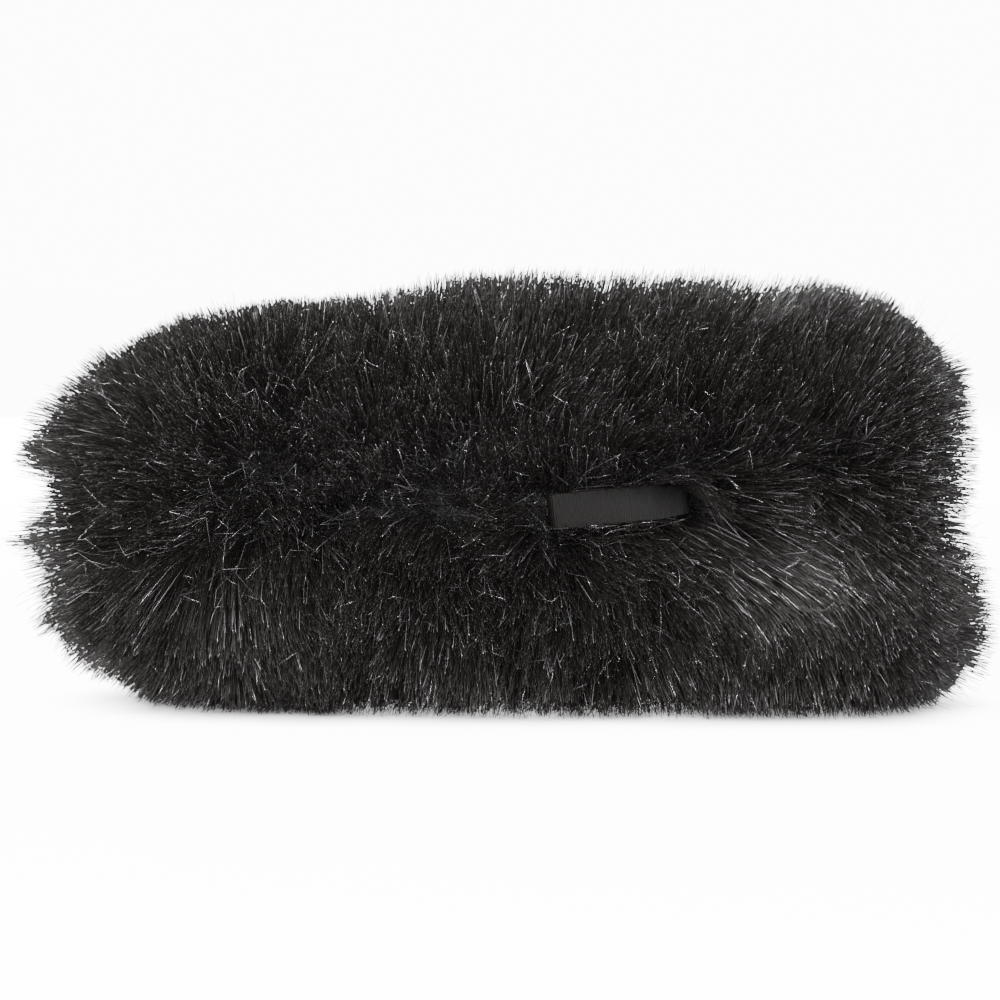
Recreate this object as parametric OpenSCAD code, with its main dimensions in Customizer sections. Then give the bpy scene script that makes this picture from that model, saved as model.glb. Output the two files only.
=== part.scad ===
// Slip-on furry windscreen for a shotgun microphone, in millimetres.
//
// A foam core is built round a slotted cage and closed by a rubber boot, and a fur
// cover is pulled over it. The cover is sewn from an upper and a lower panel that meet
// in one seam, which runs up one side, round the nose and back along the other side,
// and from a ring at the rear. An elastic hem holds it in a groove of the boot.
//
// The microphone's bore lies on the X axis: the microphone leaves towards +X, the nose
// points to -X and +Z is up. The origin is the centre of the bore at the boot's rear
// face. The pile under the windscreen is pressed flat, as it lies on a table.

/* [Microphone slot] */
// Diameter of the lips that grip the microphone
mic_hole_d = 19; // [17:0.5:20.5]
// Depth of the slot, from the boot's rear face to the end pad
slot_depth = 150; // [110:5:240]
// Room between the microphone and the slotted cage round it
cage_room = 3; // [2.8:0.1:4]
// Thickness of the soft pad at the end of the slot
end_pad_t = 4; // [2:0.5:8]

/* [Foam core] */
// Outside diameter of the foam
foam_d = 62; // [58:1:80]
// Length of the rounded foam nose
nose_len = 48; // [30:1:60]
// Foam in front of the cage's nose cap
nose_wall = 36; // [20:1:40]

/* [Slotted cage] */
// Wall of the cage
cage_wall = 2; // [1.5:0.1:3]
// Number of ribs along the cage
cage_ribs = 6; // [4:1:8]
// Width of a rib
rib_w = 3.2; // [2:0.1:5]
// Number of rings between the cage's two end bands
cage_rings = 9; // [4:1:14]
// Width of a ring
ring_w = 2.4; // [1.5:0.1:4]
// Length of the solid band at each end of the cage
cage_band = 8; // [6:0.5:12]
// Width of the flange at the rear end of the cage
flange_w = 7.5; // [4:0.5:8]
// Thickness of the flange
flange_t = 2; // [1.5:0.1:3]

/* [Rubber boot] */
// How far the edge of the boot's plate stands in from the foam
boot_inset = 5; // [4:0.5:6]
// Thickness of the boot's plate
boot_plate_t = 9; // [8.5:0.1:12]
// Wall of the collar behind the plate
collar_wall = 6; // [4:0.5:7]
// Length of the collar
collar_len = 5; // [3:0.5:10]
// Length of the spigot inside the cage
spigot_len = 14; // [10:0.5:18]
// Number of lips in the bore
lips = 4; // [2:1:5]
// Length of a lip
lip_len = 3; // [2:0.1:4]
// Depth of the grooves between the lips
lip_h = 1.5; // [0.5:0.1:1.6]

/* [Fur cover] */
// Thickness of the knitted backing
backing_t = 1.2; // [0.8:0.1:2]
// Room between the foam and the backing, where the seam tape lies
cover_gap = 1; // [0.9:0.1:1.5]
// Height of the standing pile
pile_len = 27; // [20:1:32]
// Height of the pile where it is pressed flat under the windscreen
pile_under = 15; // [12:1:18]
// Width of the parting that the pile makes along the side seam
parting_w = 8; // [5:0.5:12]
// Depth of that parting
parting_d = 13; // [8:0.5:15]
// Degrees that the cover is turned on the foam, which lifts the seam beside the tag
cover_turn = 6; // [-8:1:8]

/* [Elastic hem] */
// Diameter of the elastic cord in the hem
elastic_d = 2.4; // [2:0.1:2.6]
// Thickness of the hem's binding
binding_t = 0.65; // [0.5:0.05:0.8]

/* [Seam] */
// Width of the tape inside the seam
tape_w = 9; // [6:0.5:14]
// Thickness of the tape
tape_t = 0.4; // [0.25:0.05:0.4]
// Distance between stitches
stitch_pitch = 5; // [3:0.5:8]
// Diameter of the thread
thread_d = 0.5; // [0.4:0.05:0.6]

/* [Side tag] */
// Length of the woven tag's face
tag_len = 33; // [24:1:45]
// Width of the tag
tag_w = 8.5; // [7:0.5:11]
// Thickness of the tag
tag_t = 0.7; // [0.5:0.1:1]
// Distance of the tag's middle from the boot's rear face
tag_back = 74.5; // [60:0.5:100]
// Slope of the tag against the seam, in degrees
tag_tilt = 6; // [0:1:8]

/* [Hidden] */

round_fn = 96;   // steps of a full turn on every turned piece
nose_steps = 14; // straight stretches in the rounded nose
arc_steps = 10;  // straight stretches in a quarter turn of pile
fit_gap = 0.1;   // between pieces that are pushed together
seat_gap = 0.3;  // between pieces that rest on each other
lie_gap = 0.05;  // under a thread that lies on its seat
join = 1;        // overlap of shapes that make one solid, and run-out of cuts
big = 400;       // larger than the whole windscreen

// Places along X
plate_rear_x = -collar_len;
foam_rear_x = plate_rear_x - boot_plate_t;
spigot_front_x = foam_rear_x - spigot_len;
pad_rear_x = -slot_depth;
cap_rear_x = pad_rear_x - end_pad_t;
cap_plug_len = 4;
cage_front_x = cap_rear_x - cap_plug_len;
cap_t = 2;
cap_front_x = cage_front_x - cap_t;
foam_tip_x = cap_front_x - nose_wall;
nose_x = foam_tip_x + nose_len;

// Radii
lip_r = mic_hole_d / 2;
collar_r = lip_r + collar_wall;
cage_in_r = lip_r + cage_room;
cage_out_r = cage_in_r + cage_wall;
flange_r = cage_out_r + flange_w;
foam_r = foam_d / 2;
boot_r = foam_r - boot_inset;
foam_bore_r = cage_out_r + seat_gap;
backing_in = cover_gap;              // the backing and the pile as distances
backing_out = cover_gap + backing_t; // outside the foam
pile_out = backing_out + pile_len;
floor_z = -(foam_r + backing_out + pile_under);

// The rear end of the cover
panel_rear_x = foam_rear_x;
ring_front_x = panel_rear_x + seat_gap;
ring_in_r = foam_r + 2 * seat_gap;
slit_w = 1.6; // the pile stands this far apart at a seam
thread_rise = thread_d / 2 + lie_gap;

// The groove in the boot's plate and the hem in it
hem_r = elastic_d / 2 + fit_gap + binding_t;
hem_gap = 0.2;
hem_sink = 0.7; // share of the hem's thickness that lies inside the groove
groove_w = 2 * (hem_r + hem_gap);
groove_x = plate_rear_x - boot_plate_t / 2;
groove_r = boot_r - 2 * hem_r * hem_sink;
hem_mid_r = groove_r + hem_r + hem_gap;

// A point on the outline of the foam, grown outwards by d. t is 0 at the nose's tip and
// 90 where the nose meets the straight part. Points are [radius, x].
function nose_point(t, d) = [(foam_r + d) * sin(t), nose_x - (nose_len + d) * cos(t)];

// The outline of the core grown by d, from the nose's tip to x = rear, closed on the axis.
function core_outline(d, rear) = concat(
    [for (i = [0:nose_steps]) nose_point(90 * i / nose_steps, d)],
    [[foam_r + d, rear], [0, rear]]
);

// Turns a flat outline of [radius, x] points about the X axis.
module turned() {
    rotate([0, 90, 0])
        rotate_extrude($fn = round_fn)
            children();
}

module rod(r, x0, x1) {
    translate([x0, 0, 0])
        rotate([0, 90, 0])
            cylinder(r = r, h = x1 - x0, $fn = round_fn);
}

// A solid of the core's shape, grown by d.
module core_shape(d, rear) {
    turned() polygon(core_outline(d, rear));
}

// Turns the seam's plane, which is drawn as the XY plane, to where the cover sits.
module on_seam() {
    rotate([-cover_turn, 0, 0]) children();
}

// Everything within w / 2 of the seam's plane.
module seam_slab(w) {
    on_seam() translate([-big, -big, -w / 2]) cube([2 * big, 2 * big, w]);
}

// ---- The core ----

module rubber_boot() {
    lip_pitch = (-spigot_front_x - lip_len) / (lips - 1);
    color([0.06, 0.06, 0.065])
    difference() {
        union() {
            rod(boot_r, foam_rear_x, plate_rear_x);
            rod(collar_r, plate_rear_x - join, 0);
            rod(cage_in_r - fit_gap, spigot_front_x, foam_rear_x + join);
        }
        rod(lip_r, spigot_front_x - join, join);
        for (i = [0:lips - 2])
            rod(lip_r + lip_h, -(i + 1) * lip_pitch, -i * lip_pitch - lip_len);
        difference() {
            rod(boot_r + join, groove_x - groove_w / 2, groove_x + groove_w / 2);
            rod(groove_r, groove_x - groove_w, groove_x + groove_w);
        }
    }
}

module cage_tube() {
    rings_from = foam_rear_x - cage_band;
    rings_to = cage_front_x + cage_band;
    ring_pitch = (rings_to - rings_from) / (cage_rings + 1);
    color([0.1, 0.1, 0.11])
    difference() {
        union() {
            rod(cage_out_r, rings_from, foam_rear_x);
            rod(cage_out_r, cage_front_x, rings_to);
            rod(flange_r, foam_rear_x - flange_t, foam_rear_x);
            for (i = [1:cage_rings])
                rod(cage_out_r, rings_from + i * ring_pitch - ring_w / 2,
                    rings_from + i * ring_pitch + ring_w / 2);
            intersection() {
                rod(cage_out_r, cage_front_x, foam_rear_x);
                for (i = [0:cage_ribs - 1])
                    rotate([i * 360 / cage_ribs, 0, 0])
                        translate([cage_front_x, -rib_w / 2, 0])
                            cube([foam_rear_x - cage_front_x, rib_w, cage_out_r]);
            }
        }
        rod(cage_in_r, cage_front_x - join, foam_rear_x + join);
    }
}

module cage_nose_cap() {
    color([0.1, 0.1, 0.11]) {
        rod(cage_out_r, cap_front_x, cage_front_x);
        rod(cage_in_r - fit_gap, cage_front_x - cap_t / 2, cap_rear_x);
    }
}

module end_pad() {
    color([0.17, 0.17, 0.18])
    rod(cage_in_r - fit_gap, cap_rear_x, pad_rear_x);
}

module foam_sleeve() {
    color([0.16, 0.16, 0.17])
    difference() {
        rod(foam_r, nose_x, foam_rear_x);
        rod(foam_bore_r, nose_x - join, foam_rear_x + join);
        rod(flange_r + seat_gap, foam_rear_x - flange_t - seat_gap, foam_rear_x + join);
    }
}

module foam_nose() {
    color([0.16, 0.16, 0.17])
    difference() {
        core_shape(0, nose_x);
        rod(foam_bore_r, cap_front_x - seat_gap, nose_x + join);
    }
}

// ---- The fur cover ----

// The room that a lying windscreen's pile doesn't reach.
module below_floor() {
    translate([-big, -big, floor_z - big]) cube([2 * big, 2 * big, big]);
}

// One half of the cover: backing and pile from the seam's plane up, or down for side -1.
module fur_panel(side) {
    difference() {
        intersection() {
            core_shape(pile_out, panel_rear_x);
            on_seam()
                translate([-big, -big, side > 0 ? seat_gap / 2 : -big - seat_gap / 2])
                    cube([2 * big, 2 * big, big]);
        }
        core_shape(backing_in, 0);
        // The pile leans away from the seam, down to the backing at the seam itself.
        difference() {
            seam_slab(parting_w);
            core_shape(pile_out - parting_d, 0);
        }
        difference() {
            seam_slab(slit_w);
            core_shape(backing_out, 0);
        }
        difference() {
            rod(big, panel_rear_x - slit_w + seat_gap, join);
            rod(foam_r + backing_out, -big, big);
        }
        below_floor();
        tag_pocket();
    }
}

module upper_fur_panel() {
    color([0.05, 0.05, 0.055]) fur_panel(1);
}

module lower_fur_panel() {
    color([0.05, 0.05, 0.055]) fur_panel(-1);
}

// The ring's pile fans out round the rear edge of the cover.
module rear_fur_ring() {
    corner_r = foam_r + backing_out;
    fan = [for (i = [0:arc_steps]) let (a = 90 * i / arc_steps)
        [corner_r + pile_len * cos(a), ring_front_x + pile_len * sin(a)]];
    color([0.05, 0.05, 0.055])
    difference() {
        turned()
            polygon(concat([[ring_in_r, ring_front_x]], fan,
                           [[ring_in_r, ring_front_x + pile_len]]));
        below_floor();
    }
}

// The tape lies midway between the foam and the backing.
module seam_tape() {
    inner = (cover_gap - tape_t) / 2;
    color([0.04, 0.04, 0.04])
    intersection() {
        difference() {
            core_shape(inner + tape_t, panel_rear_x);
            core_shape(inner, 0);
        }
        seam_slab(tape_w);
    }
}

// A stitch across a seam: a short rod from -len / 2 to len / 2 along Z.
module stitch(len) {
    translate([0, 0, -len / 2]) cylinder(d = thread_d, h = len, $fn = 16);
}

module side_seam_stitches() {
    thread_out = backing_out + thread_rise;
    stitch_len = slit_w - 2 * fit_gap;
    straight = panel_rear_x - slit_w - nose_x;
    count = floor(straight / stitch_pitch);
    color([0.03, 0.03, 0.03])
    on_seam() {
        for (side = [-1, 1], i = [0:count - 1])
            translate([nose_x + (i + 0.5) * straight / count,
                       side * (foam_r + thread_out), 0])
                stitch(stitch_len);
        // The nose's stitches stand at even steps of its outline's parameter.
        nose_count = floor(nose_len * 3 / stitch_pitch / 2) * 2;
        for (i = [1:nose_count - 1])
            let (t = 180 * i / nose_count - 90, p = nose_point(abs(t), thread_out))
                translate([p[1], sign(t) * p[0], 0])
                    stitch(stitch_len);
    }
}

module rear_seam_stitches() {
    seat_r = foam_r + backing_out + thread_rise;
    count = round(2 * PI * seat_r / stitch_pitch);
    middle_x = ring_front_x - slit_w / 2;
    color([0.03, 0.03, 0.03])
    for (i = [0:count - 1])
        rotate([(i + 0.5) * 360 / count, 0, 0])
            translate([middle_x, 0, seat_r])
                rotate([0, 90, 0])
                    stitch(slit_w - 4 * fit_gap);
}

// A bound edge: a tube round the elastic cord, and a web that joins it to the fur ring.
module hem_binding() {
    web_r = boot_r + seat_gap;
    web_x = foam_rear_x + seat_gap;
    color([0.05, 0.05, 0.05])
    turned()
    difference() {
        union() {
            translate([hem_mid_r, groove_x]) circle(r = hem_r, $fn = 32);
            translate([web_r, web_x]) square([binding_t, groove_x - web_x]);
            translate([web_r, web_x]) square([ring_in_r - seat_gap - web_r, binding_t]);
        }
        translate([hem_mid_r, groove_x]) circle(d = elastic_d + 2 * fit_gap, $fn = 32);
    }
}

module hem_elastic() {
    color([0.08, 0.08, 0.08])
    turned()
    translate([hem_mid_r, groove_x]) circle(d = elastic_d, $fn = 32);
}

// The stitches lie on the web, across its joint with the fur ring.
module hem_stitches() {
    stitch_r = (boot_r + binding_t + ring_in_r) / 2;
    seat_x = foam_rear_x + seat_gap + binding_t + thread_rise;
    stitch_len = 2.4;
    count = round(2 * PI * stitch_r / stitch_pitch);
    color([0.03, 0.03, 0.03])
    for (i = [0:count - 1])
        rotate([i * 360 / count, 0, 0])
            translate([seat_x, 0, stitch_r])
                stitch(stitch_len);
}

// ---- The side tag ----

// The tag is a ribbon whose two ends go down through the pile to the seam. Its middle
// line is a list of [x, distance from the axis] points, in the seam's plane.
tag_fold_r = 2.5;  // radius of its folded ends
tag_bow = 1.5;     // how far its face bows outwards
tag_steps = 6;     // straight stretches in a folded end, and in half of the face
tag_foot = foam_r + backing_out + tag_t;
tag_sink = 1;      // how far it is pressed into the floor of the parting
tag_seat = foam_r + pile_out - parting_d - tag_sink;
tag_face = tag_seat + tag_t;

function tag_half() = concat(
    [[tag_len / 2, tag_foot]],
    [for (i = [0:tag_steps]) let (a = 90 * i / tag_steps)
        [tag_len / 2 - tag_fold_r + tag_fold_r * cos(a),
         tag_face - tag_fold_r + tag_fold_r * sin(a)]],
    [for (i = [1:tag_steps - 1]) let (s = 1 - i / tag_steps)
        [s * (tag_len / 2 - tag_fold_r), tag_face + tag_bow * (1 - s * s)]]
);

function tag_line() = let (half = tag_half(), n = len(half)) concat(
    half,
    [[0, tag_face + tag_bow]],
    [for (i = [n - 1:-1:0]) [-half[i][0], half[i][1]]]
);

// The unit normal of a line of points at point i.
function normal_at(line, i) =
    let (a = line[max(i - 1, 0)], b = line[min(i + 1, len(line) - 1)],
         d = (b - a) / norm(b - a))
    [d[1], -d[0]];

// A ribbon of thickness t along a line.
module ribbon(line, t) {
    last = len(line) - 1;
    polygon(concat(
        [for (i = [0:last]) line[i] + normal_at(line, i) * t / 2],
        [for (i = [last:-1:0]) line[i] - normal_at(line, i) * t / 2]
    ));
}

// Puts what is drawn round the origin at the tag's place along the seam, and slopes it.
module tag_place() {
    on_seam() translate([-tag_back, 0, 0]) rotate([0, -tag_tilt, 0]) children();
}

// Places a flat outline of [x, distance from the axis] points on the side that faces -Y,
// at the tag's place and slope, w wide.
module on_tag(w) {
    tag_place()
        mirror([0, 1, 0])
            linear_extrude(height = w, center = true)
                children();
}

// The hollow that the tag presses into the pile, with slots for its two ends.
module tag_pocket() {
    room = thread_d + seat_gap;
    on_tag(tag_w + 2 * room) {
        ribbon(tag_line(), tag_t + 2 * room);
        translate([-tag_len / 2 - 2 * room, tag_seat])
            square([tag_len + 4 * room, pile_len]);
    }
}

module side_tag() {
    color([0.1, 0.1, 0.1])
    on_tag(tag_w) ribbon(tag_line(), tag_t);
}

// A row of stitches across each end of the tag, just above the backing.
module tag_stitches() {
    per_row = 3;
    pitch = tag_w / per_row;
    seat_x = tag_len / 2 + tag_t / 2 + thread_rise;
    stitch_gap = 1;
    foot_rise = 1.5;
    color([0.03, 0.03, 0.03])
    tag_place()
        for (side = [-1, 1], i = [0:per_row - 1])
            translate([side * seat_x, -tag_foot - foot_rise, (i + 0.5) * pitch - tag_w / 2])
                stitch(pitch - stitch_gap);
}

rubber_boot();
cage_tube();
cage_nose_cap();
end_pad();
foam_sleeve();
foam_nose();
upper_fur_panel();
lower_fur_panel();
rear_fur_ring();
seam_tape();
side_seam_stitches();
rear_seam_stitches();
hem_binding();
hem_elastic();
hem_stitches();
side_tag();
tag_stitches();
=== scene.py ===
"""Looks of a slip-on furry windscreen for a shotgun microphone.

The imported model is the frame: every piece built here stands in its place, in metres, with
the bore on the X axis, the nose at -X and the surface it lies on below.

The pile is made of mesh hairs that grow from the knitted backing. A hair's root is a place
on the cover's meridian and an angle round the bore. Its path starts along the pile's
standing direction and bends with the lie of the pile, which is a field over the cover:
away from the seam, down under its weight, back along the combed stretches. Hairs are
gathered into tufts, laid flat on the ground and pushed clear of the side tag.
"""

from __future__ import annotations

import logging
import math
from dataclasses import dataclass, field
from enum import Enum

import bmesh
import bpy
import numpy as np
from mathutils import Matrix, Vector


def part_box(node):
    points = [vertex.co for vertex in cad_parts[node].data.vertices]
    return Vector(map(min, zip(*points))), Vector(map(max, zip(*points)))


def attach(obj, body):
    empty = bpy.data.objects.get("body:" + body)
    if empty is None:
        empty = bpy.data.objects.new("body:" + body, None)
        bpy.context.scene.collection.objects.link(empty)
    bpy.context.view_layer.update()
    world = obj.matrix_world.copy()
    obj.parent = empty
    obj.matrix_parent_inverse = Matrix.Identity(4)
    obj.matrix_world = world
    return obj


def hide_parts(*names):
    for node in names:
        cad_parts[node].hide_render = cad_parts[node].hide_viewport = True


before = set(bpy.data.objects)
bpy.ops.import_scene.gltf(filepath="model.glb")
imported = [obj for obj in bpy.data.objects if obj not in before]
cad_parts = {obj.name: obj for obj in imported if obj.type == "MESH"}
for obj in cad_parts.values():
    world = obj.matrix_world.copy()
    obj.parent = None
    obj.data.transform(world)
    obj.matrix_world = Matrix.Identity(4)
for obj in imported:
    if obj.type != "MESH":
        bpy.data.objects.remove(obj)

MM = 0.001
REAR_GAP = 0.3 * MM     # from the panels' rear edge to the ring and the hem
POLE = 0.004            # where the nose's curve stops short of its tip, in radians
BAKE_UV = "OFBake"
log = logging.getLogger("windscreen")

Array = np.ndarray


# ---------------------------------------------------------------- shader helpers


class Link:
    """A shader socket that takes part in Python arithmetic by adding Math nodes."""

    def __init__(self, tree: "Tree", socket: bpy.types.NodeSocket) -> None:
        """Wraps a node's output socket."""
        self.tree = tree
        self.socket = socket

    def _math(self, operation: str, *values: "Link | float") -> "Link":
        """Adds a Math node with these inputs."""
        inputs = dict(enumerate(values))
        return self.tree.node("ShaderNodeMath", {"operation": operation}, inputs)[0]

    def __add__(self, other: "Link | float") -> "Link":
        """self + other."""
        return self._math("ADD", self, other)

    def __radd__(self, other: float) -> "Link":
        """other + self."""
        return self._math("ADD", other, self)

    def __rsub__(self, other: float) -> "Link":
        """other - self."""
        return self._math("SUBTRACT", other, self)

    def __mul__(self, other: "Link | float") -> "Link":
        """self * other."""
        return self._math("MULTIPLY", self, other)

    def __rmul__(self, other: float) -> "Link":
        """other * self."""
        return self._math("MULTIPLY", other, self)

    def __pow__(self, other: "Link | float") -> "Link":
        """self to the power of other."""
        return self._math("POWER", self, other)

    def sine(self) -> "Link":
        """The sine of self, in radians."""
        return self._math("SINE", self)

    def within(self, low: float, high: float) -> "Link":
        """0 below low, 1 above high and smooth between them."""
        settings = {"interpolation_type": "SMOOTHSTEP"}
        return self.tree.node("ShaderNodeMapRange", settings, {0: self, 1: low, 2: high})[0]


class Tree:
    """A material's node tree with one method that adds any node."""

    def __init__(self, name: str) -> None:
        """Makes a material whose tree holds only its Principled shader and output.

        Args:
            name: the material's name.
        """
        self.material = bpy.data.materials.new(name)
        self.material.use_nodes = True
        self.nodes = self.material.node_tree.nodes
        self.links = self.material.node_tree.links
        self.shader = self.nodes["Principled BSDF"]

    def put(self, socket: bpy.types.NodeSocket, value: object) -> None:
        """Links a Link to an input socket, or sets the socket to a plain value.

        Args:
            socket: the input.
            value: a Link, a number, or a colour of three numbers.
        """
        if isinstance(value, Link):
            self.links.new(value.socket, socket)
        elif isinstance(value, tuple) and len(value) == 3 and socket.type == "RGBA":
            socket.default_value = (*value, 1.0)
        else:
            socket.default_value = value

    def node(self, kind: str, settings: dict, inputs: dict) -> list[Link]:
        """Adds a node.

        Args:
            kind: the node's type.
            settings: its properties.
            inputs: its inputs by name or number, as Links or plain values.

        Returns:
            Its outputs.
        """
        made = self.nodes.new(kind)
        for name, value in settings.items():
            setattr(made, name, value)
        for key, value in inputs.items():
            self.put(made.inputs[key], value)
        return [Link(self, output) for output in made.outputs]

    def object_place(self) -> Link:
        """The point's place in the frame."""
        return self.node("ShaderNodeTexCoord", {}, {})[3]

    def surface_uv(self) -> tuple[Link, Link]:
        """Reads a piece's own UV map.

        Returns:
            Its two coordinates.
        """
        uv = self.node("ShaderNodeUVMap", {"uv_map": BAKE_UV}, {})[0]
        parts = self.node("ShaderNodeSeparateXYZ", {}, {0: uv})
        return parts[0], parts[1]

    def mix(self, share: "Link | float", a: object, b: object) -> Link:
        """The colour a, with b over it by share."""
        settings = {"data_type": "RGBA", "clamp_factor": True}
        return self.node("ShaderNodeMix", settings, {0: share, 6: a, 7: b})[2]

    def noise(self, place: Link, scale: float, detail: float = 3.0) -> Link:
        """Noise from 0 to 1 with this many features in a metre."""
        inputs = {"Vector": place, "Scale": scale, "Detail": detail}
        return self.node("ShaderNodeTexNoise", {}, inputs)[0]

    def bump(self, height: Link, depth: float, strength: float = 1.0) -> Link:
        """A normal from a height of 0 to 1 that stands for depth metres."""
        inputs = {"Height": height, "Distance": depth, "Strength": strength}
        return self.node("ShaderNodeBump", {}, inputs)[0]

    def dress(self, **values: object) -> bpy.types.Material:
        """Sets the Principled shader's sockets and ends the tree.

        Args:
            values: what goes into each socket, named with _ for spaces.

        Returns:
            The material.
        """
        for name, value in values.items():
            self.put(self.shader.inputs[name.replace("_", " ")], value)
        return self.material


Colour = tuple[float, float, float]


@dataclass(frozen=True)
class PileFinish:
    """Glossy black pile. Its colour follows the hair from root to tip and its own shade."""

    name: str = "pile"
    root: Colour = (0.0050, 0.0045, 0.0043)
    tip: Colour = (0.0098, 0.0087, 0.0083)
    # a few hairs are pale and metallic along their middle: painted glints, which also reflect the
    # lamps strongly
    pale: Colour = (0.36, 0.355, 0.365)
    glow: Colour = (0.0046, 0.0041, 0.0039)   # painted glow: emission that stands in for light that strays through the dense pile
    pale_share: float = 0.045
    roughness: tuple[float, float] = (0.23, 0.43)

    def material(self) -> bpy.types.Material:
        """Makes the material: u runs along a hair and v is the hair's shade.

        Returns:
            The material.
        """
        tree = Tree(self.name)
        along, shade = tree.surface_uv()
        plain = tree.mix(along, self.root, self.tip)
        lifted = tree.mix(shade * 0.6, plain, self.tip)
        # the pale middles of these hairs are painted glints
        is_pale = shade.within(1 - self.pale_share, 1 - self.pale_share / 3)
        glint = is_pale * along.within(0.25, 0.8)
        colour = tree.mix(glint, lifted, self.pale)
        low, high = self.roughness
        # the emission paints a faint glow for light that strays through the pile
        return tree.dress(Base_Color=colour, Roughness=high - (high - low) * shade,
                          Metallic=glint * 0.8, Specular_IOR_Level=0.36,
                          Emission_Color=self.glow, Emission_Strength=1.0)


@dataclass(frozen=True)
class KnitFinish:
    """Black warp knit: columns of small loops. u and v run along and across the cloth."""

    name: str = "knit"
    rows: float = 150.0
    columns: float = 90.0
    dark: Colour = (0.004, 0.0038, 0.0038)
    light: Colour = (0.011, 0.0105, 0.0105)

    def material(self) -> bpy.types.Material:
        """Makes the material.

        Returns:
            The material.
        """
        tree = Tree(self.name)
        along, across = tree.surface_uv()
        column = (across * (self.columns * 2 * math.pi)).sine()
        loop = ((along * self.rows + column * 0.12) * (2 * math.pi)).sine()
        height = column * 0.35 + loop * 0.25 + 0.5
        # lighter on the high loops and darker in the low ones: painted shade in the knit's hollows
        colour = tree.mix(height.within(0.1, 0.9), self.dark, self.light)
        return tree.dress(Base_Color=colour, Roughness=0.85 - height * 0.1, Sheen_Weight=0.08,
                          Normal=tree.bump(height, 0.25 * MM))


@dataclass(frozen=True)
class WovenFinish:
    """Twill: diagonal ribs with threads across them. u and v run along and across it."""

    name: str
    ribs: float
    threads: float
    dark: Colour
    light: Colour
    roughness: float
    lean: float = 0.5
    sheen: float = 0.15
    gloss: float = 0.4

    def material(self) -> bpy.types.Material:
        """Makes the material.

        Returns:
            The material.
        """
        tree = Tree(self.name)
        along, across = tree.surface_uv()
        rib = ((along * self.ribs + across * (self.threads * self.lean)) * (2 * math.pi)).sine()
        thread = (across * (self.threads * 2 * math.pi)).sine()
        height = rib * 0.3 + thread * 0.2 + 0.5
        # darker where the weave is low: painted shade in its hollows, varied by a random tone
        shade = height * (0.75 + tree.noise(tree.object_place(), 900, 2.0) * 0.5)
        colour = tree.mix(shade.within(0.15, 0.85), self.dark, self.light)
        return tree.dress(Base_Color=colour, Roughness=self.roughness - height * 0.12,
                          Sheen_Weight=self.sheen, Specular_IOR_Level=self.gloss,
                          Normal=tree.bump(height, 0.12 * MM, 0.8))


@dataclass(frozen=True)
class ThreadFinish:
    """Twisted thread: u runs along the thread and v round it."""

    name: str
    turns: float
    dark: Colour = (0.010, 0.010, 0.010)
    light: Colour = (0.045, 0.044, 0.044)

    def material(self) -> bpy.types.Material:
        """Makes the material.

        Returns:
            The material.
        """
        tree = Tree(self.name)
        along, round_it = tree.surface_uv()
        ply = ((along * self.turns + round_it * 2) * (2 * math.pi)).sine() * 0.5 + 0.5
        # darker in the grooves between the plies: painted shade
        colour = tree.mix(ply, self.dark, self.light)
        return tree.dress(Base_Color=colour, Roughness=0.55 - ply * 0.15,
                          Normal=tree.bump(ply, 0.08 * MM))


@dataclass(frozen=True)
class FoamFinish:
    """Open-cell foam: fine pores, darkened as painted shade, between paler walls, with soft wider
    blotches.
    """

    name: str = "open_cell_foam"
    wall: Colour = (0.036, 0.0355, 0.036)
    pore: Colour = (0.003, 0.003, 0.003)
    pores: float = 1500.0

    def material(self) -> bpy.types.Material:
        """Makes the material.

        Returns:
            The material.
        """
        tree = Tree(self.name)
        place = tree.object_place()
        cell = tree.node("ShaderNodeTexVoronoi", {"feature": "F1"},
                         {"Vector": place, "Scale": self.pores, "Randomness": 1.0})[0]
        small = tree.node("ShaderNodeTexVoronoi", {"feature": "F1"},
                          {"Vector": place, "Scale": self.pores * 2.3, "Randomness": 1.0})[0]
        height = cell * 0.75 + small * 0.35
        blotch = tree.noise(place, 60, 2.0)
        # the pores take the dark colour: painted shade in the foam's holes
        colour = tree.mix(height.within(0.12, 0.62), self.pore, self.wall)
        colour = tree.mix(blotch.within(0.35, 0.8) * 0.25, colour, self.pore)
        return tree.dress(Base_Color=colour, Roughness=0.98 - blotch * 0.06,
                          Normal=tree.bump(height, 0.5 * MM, 0.9))


@dataclass(frozen=True)
class MouldedFinish:
    """Moulded rubber or nylon: fine spark-eroded grain, faint flow marks, dust in places."""

    name: str
    body: Colour
    dusty: Colour
    roughness: tuple[float, float]
    grain: float
    depth: float
    gloss: float = 0.5

    def material(self) -> bpy.types.Material:
        """Makes the material.

        Returns:
            The material.
        """
        tree = Tree(self.name)
        place = tree.object_place()
        grain = tree.noise(place, self.grain, 4.0)
        flow = tree.noise(place, 45, 2.0)
        colour = tree.mix(flow.within(0.45, 0.85) * 0.5, self.body, self.dusty)
        low, high = self.roughness
        uneven = grain * 0.6 + flow * 0.4
        return tree.dress(Base_Color=colour, Roughness=low + uneven * (high - low),
                          Specular_IOR_Level=self.gloss,
                          Normal=tree.bump(grain, self.depth, 0.6))


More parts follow.
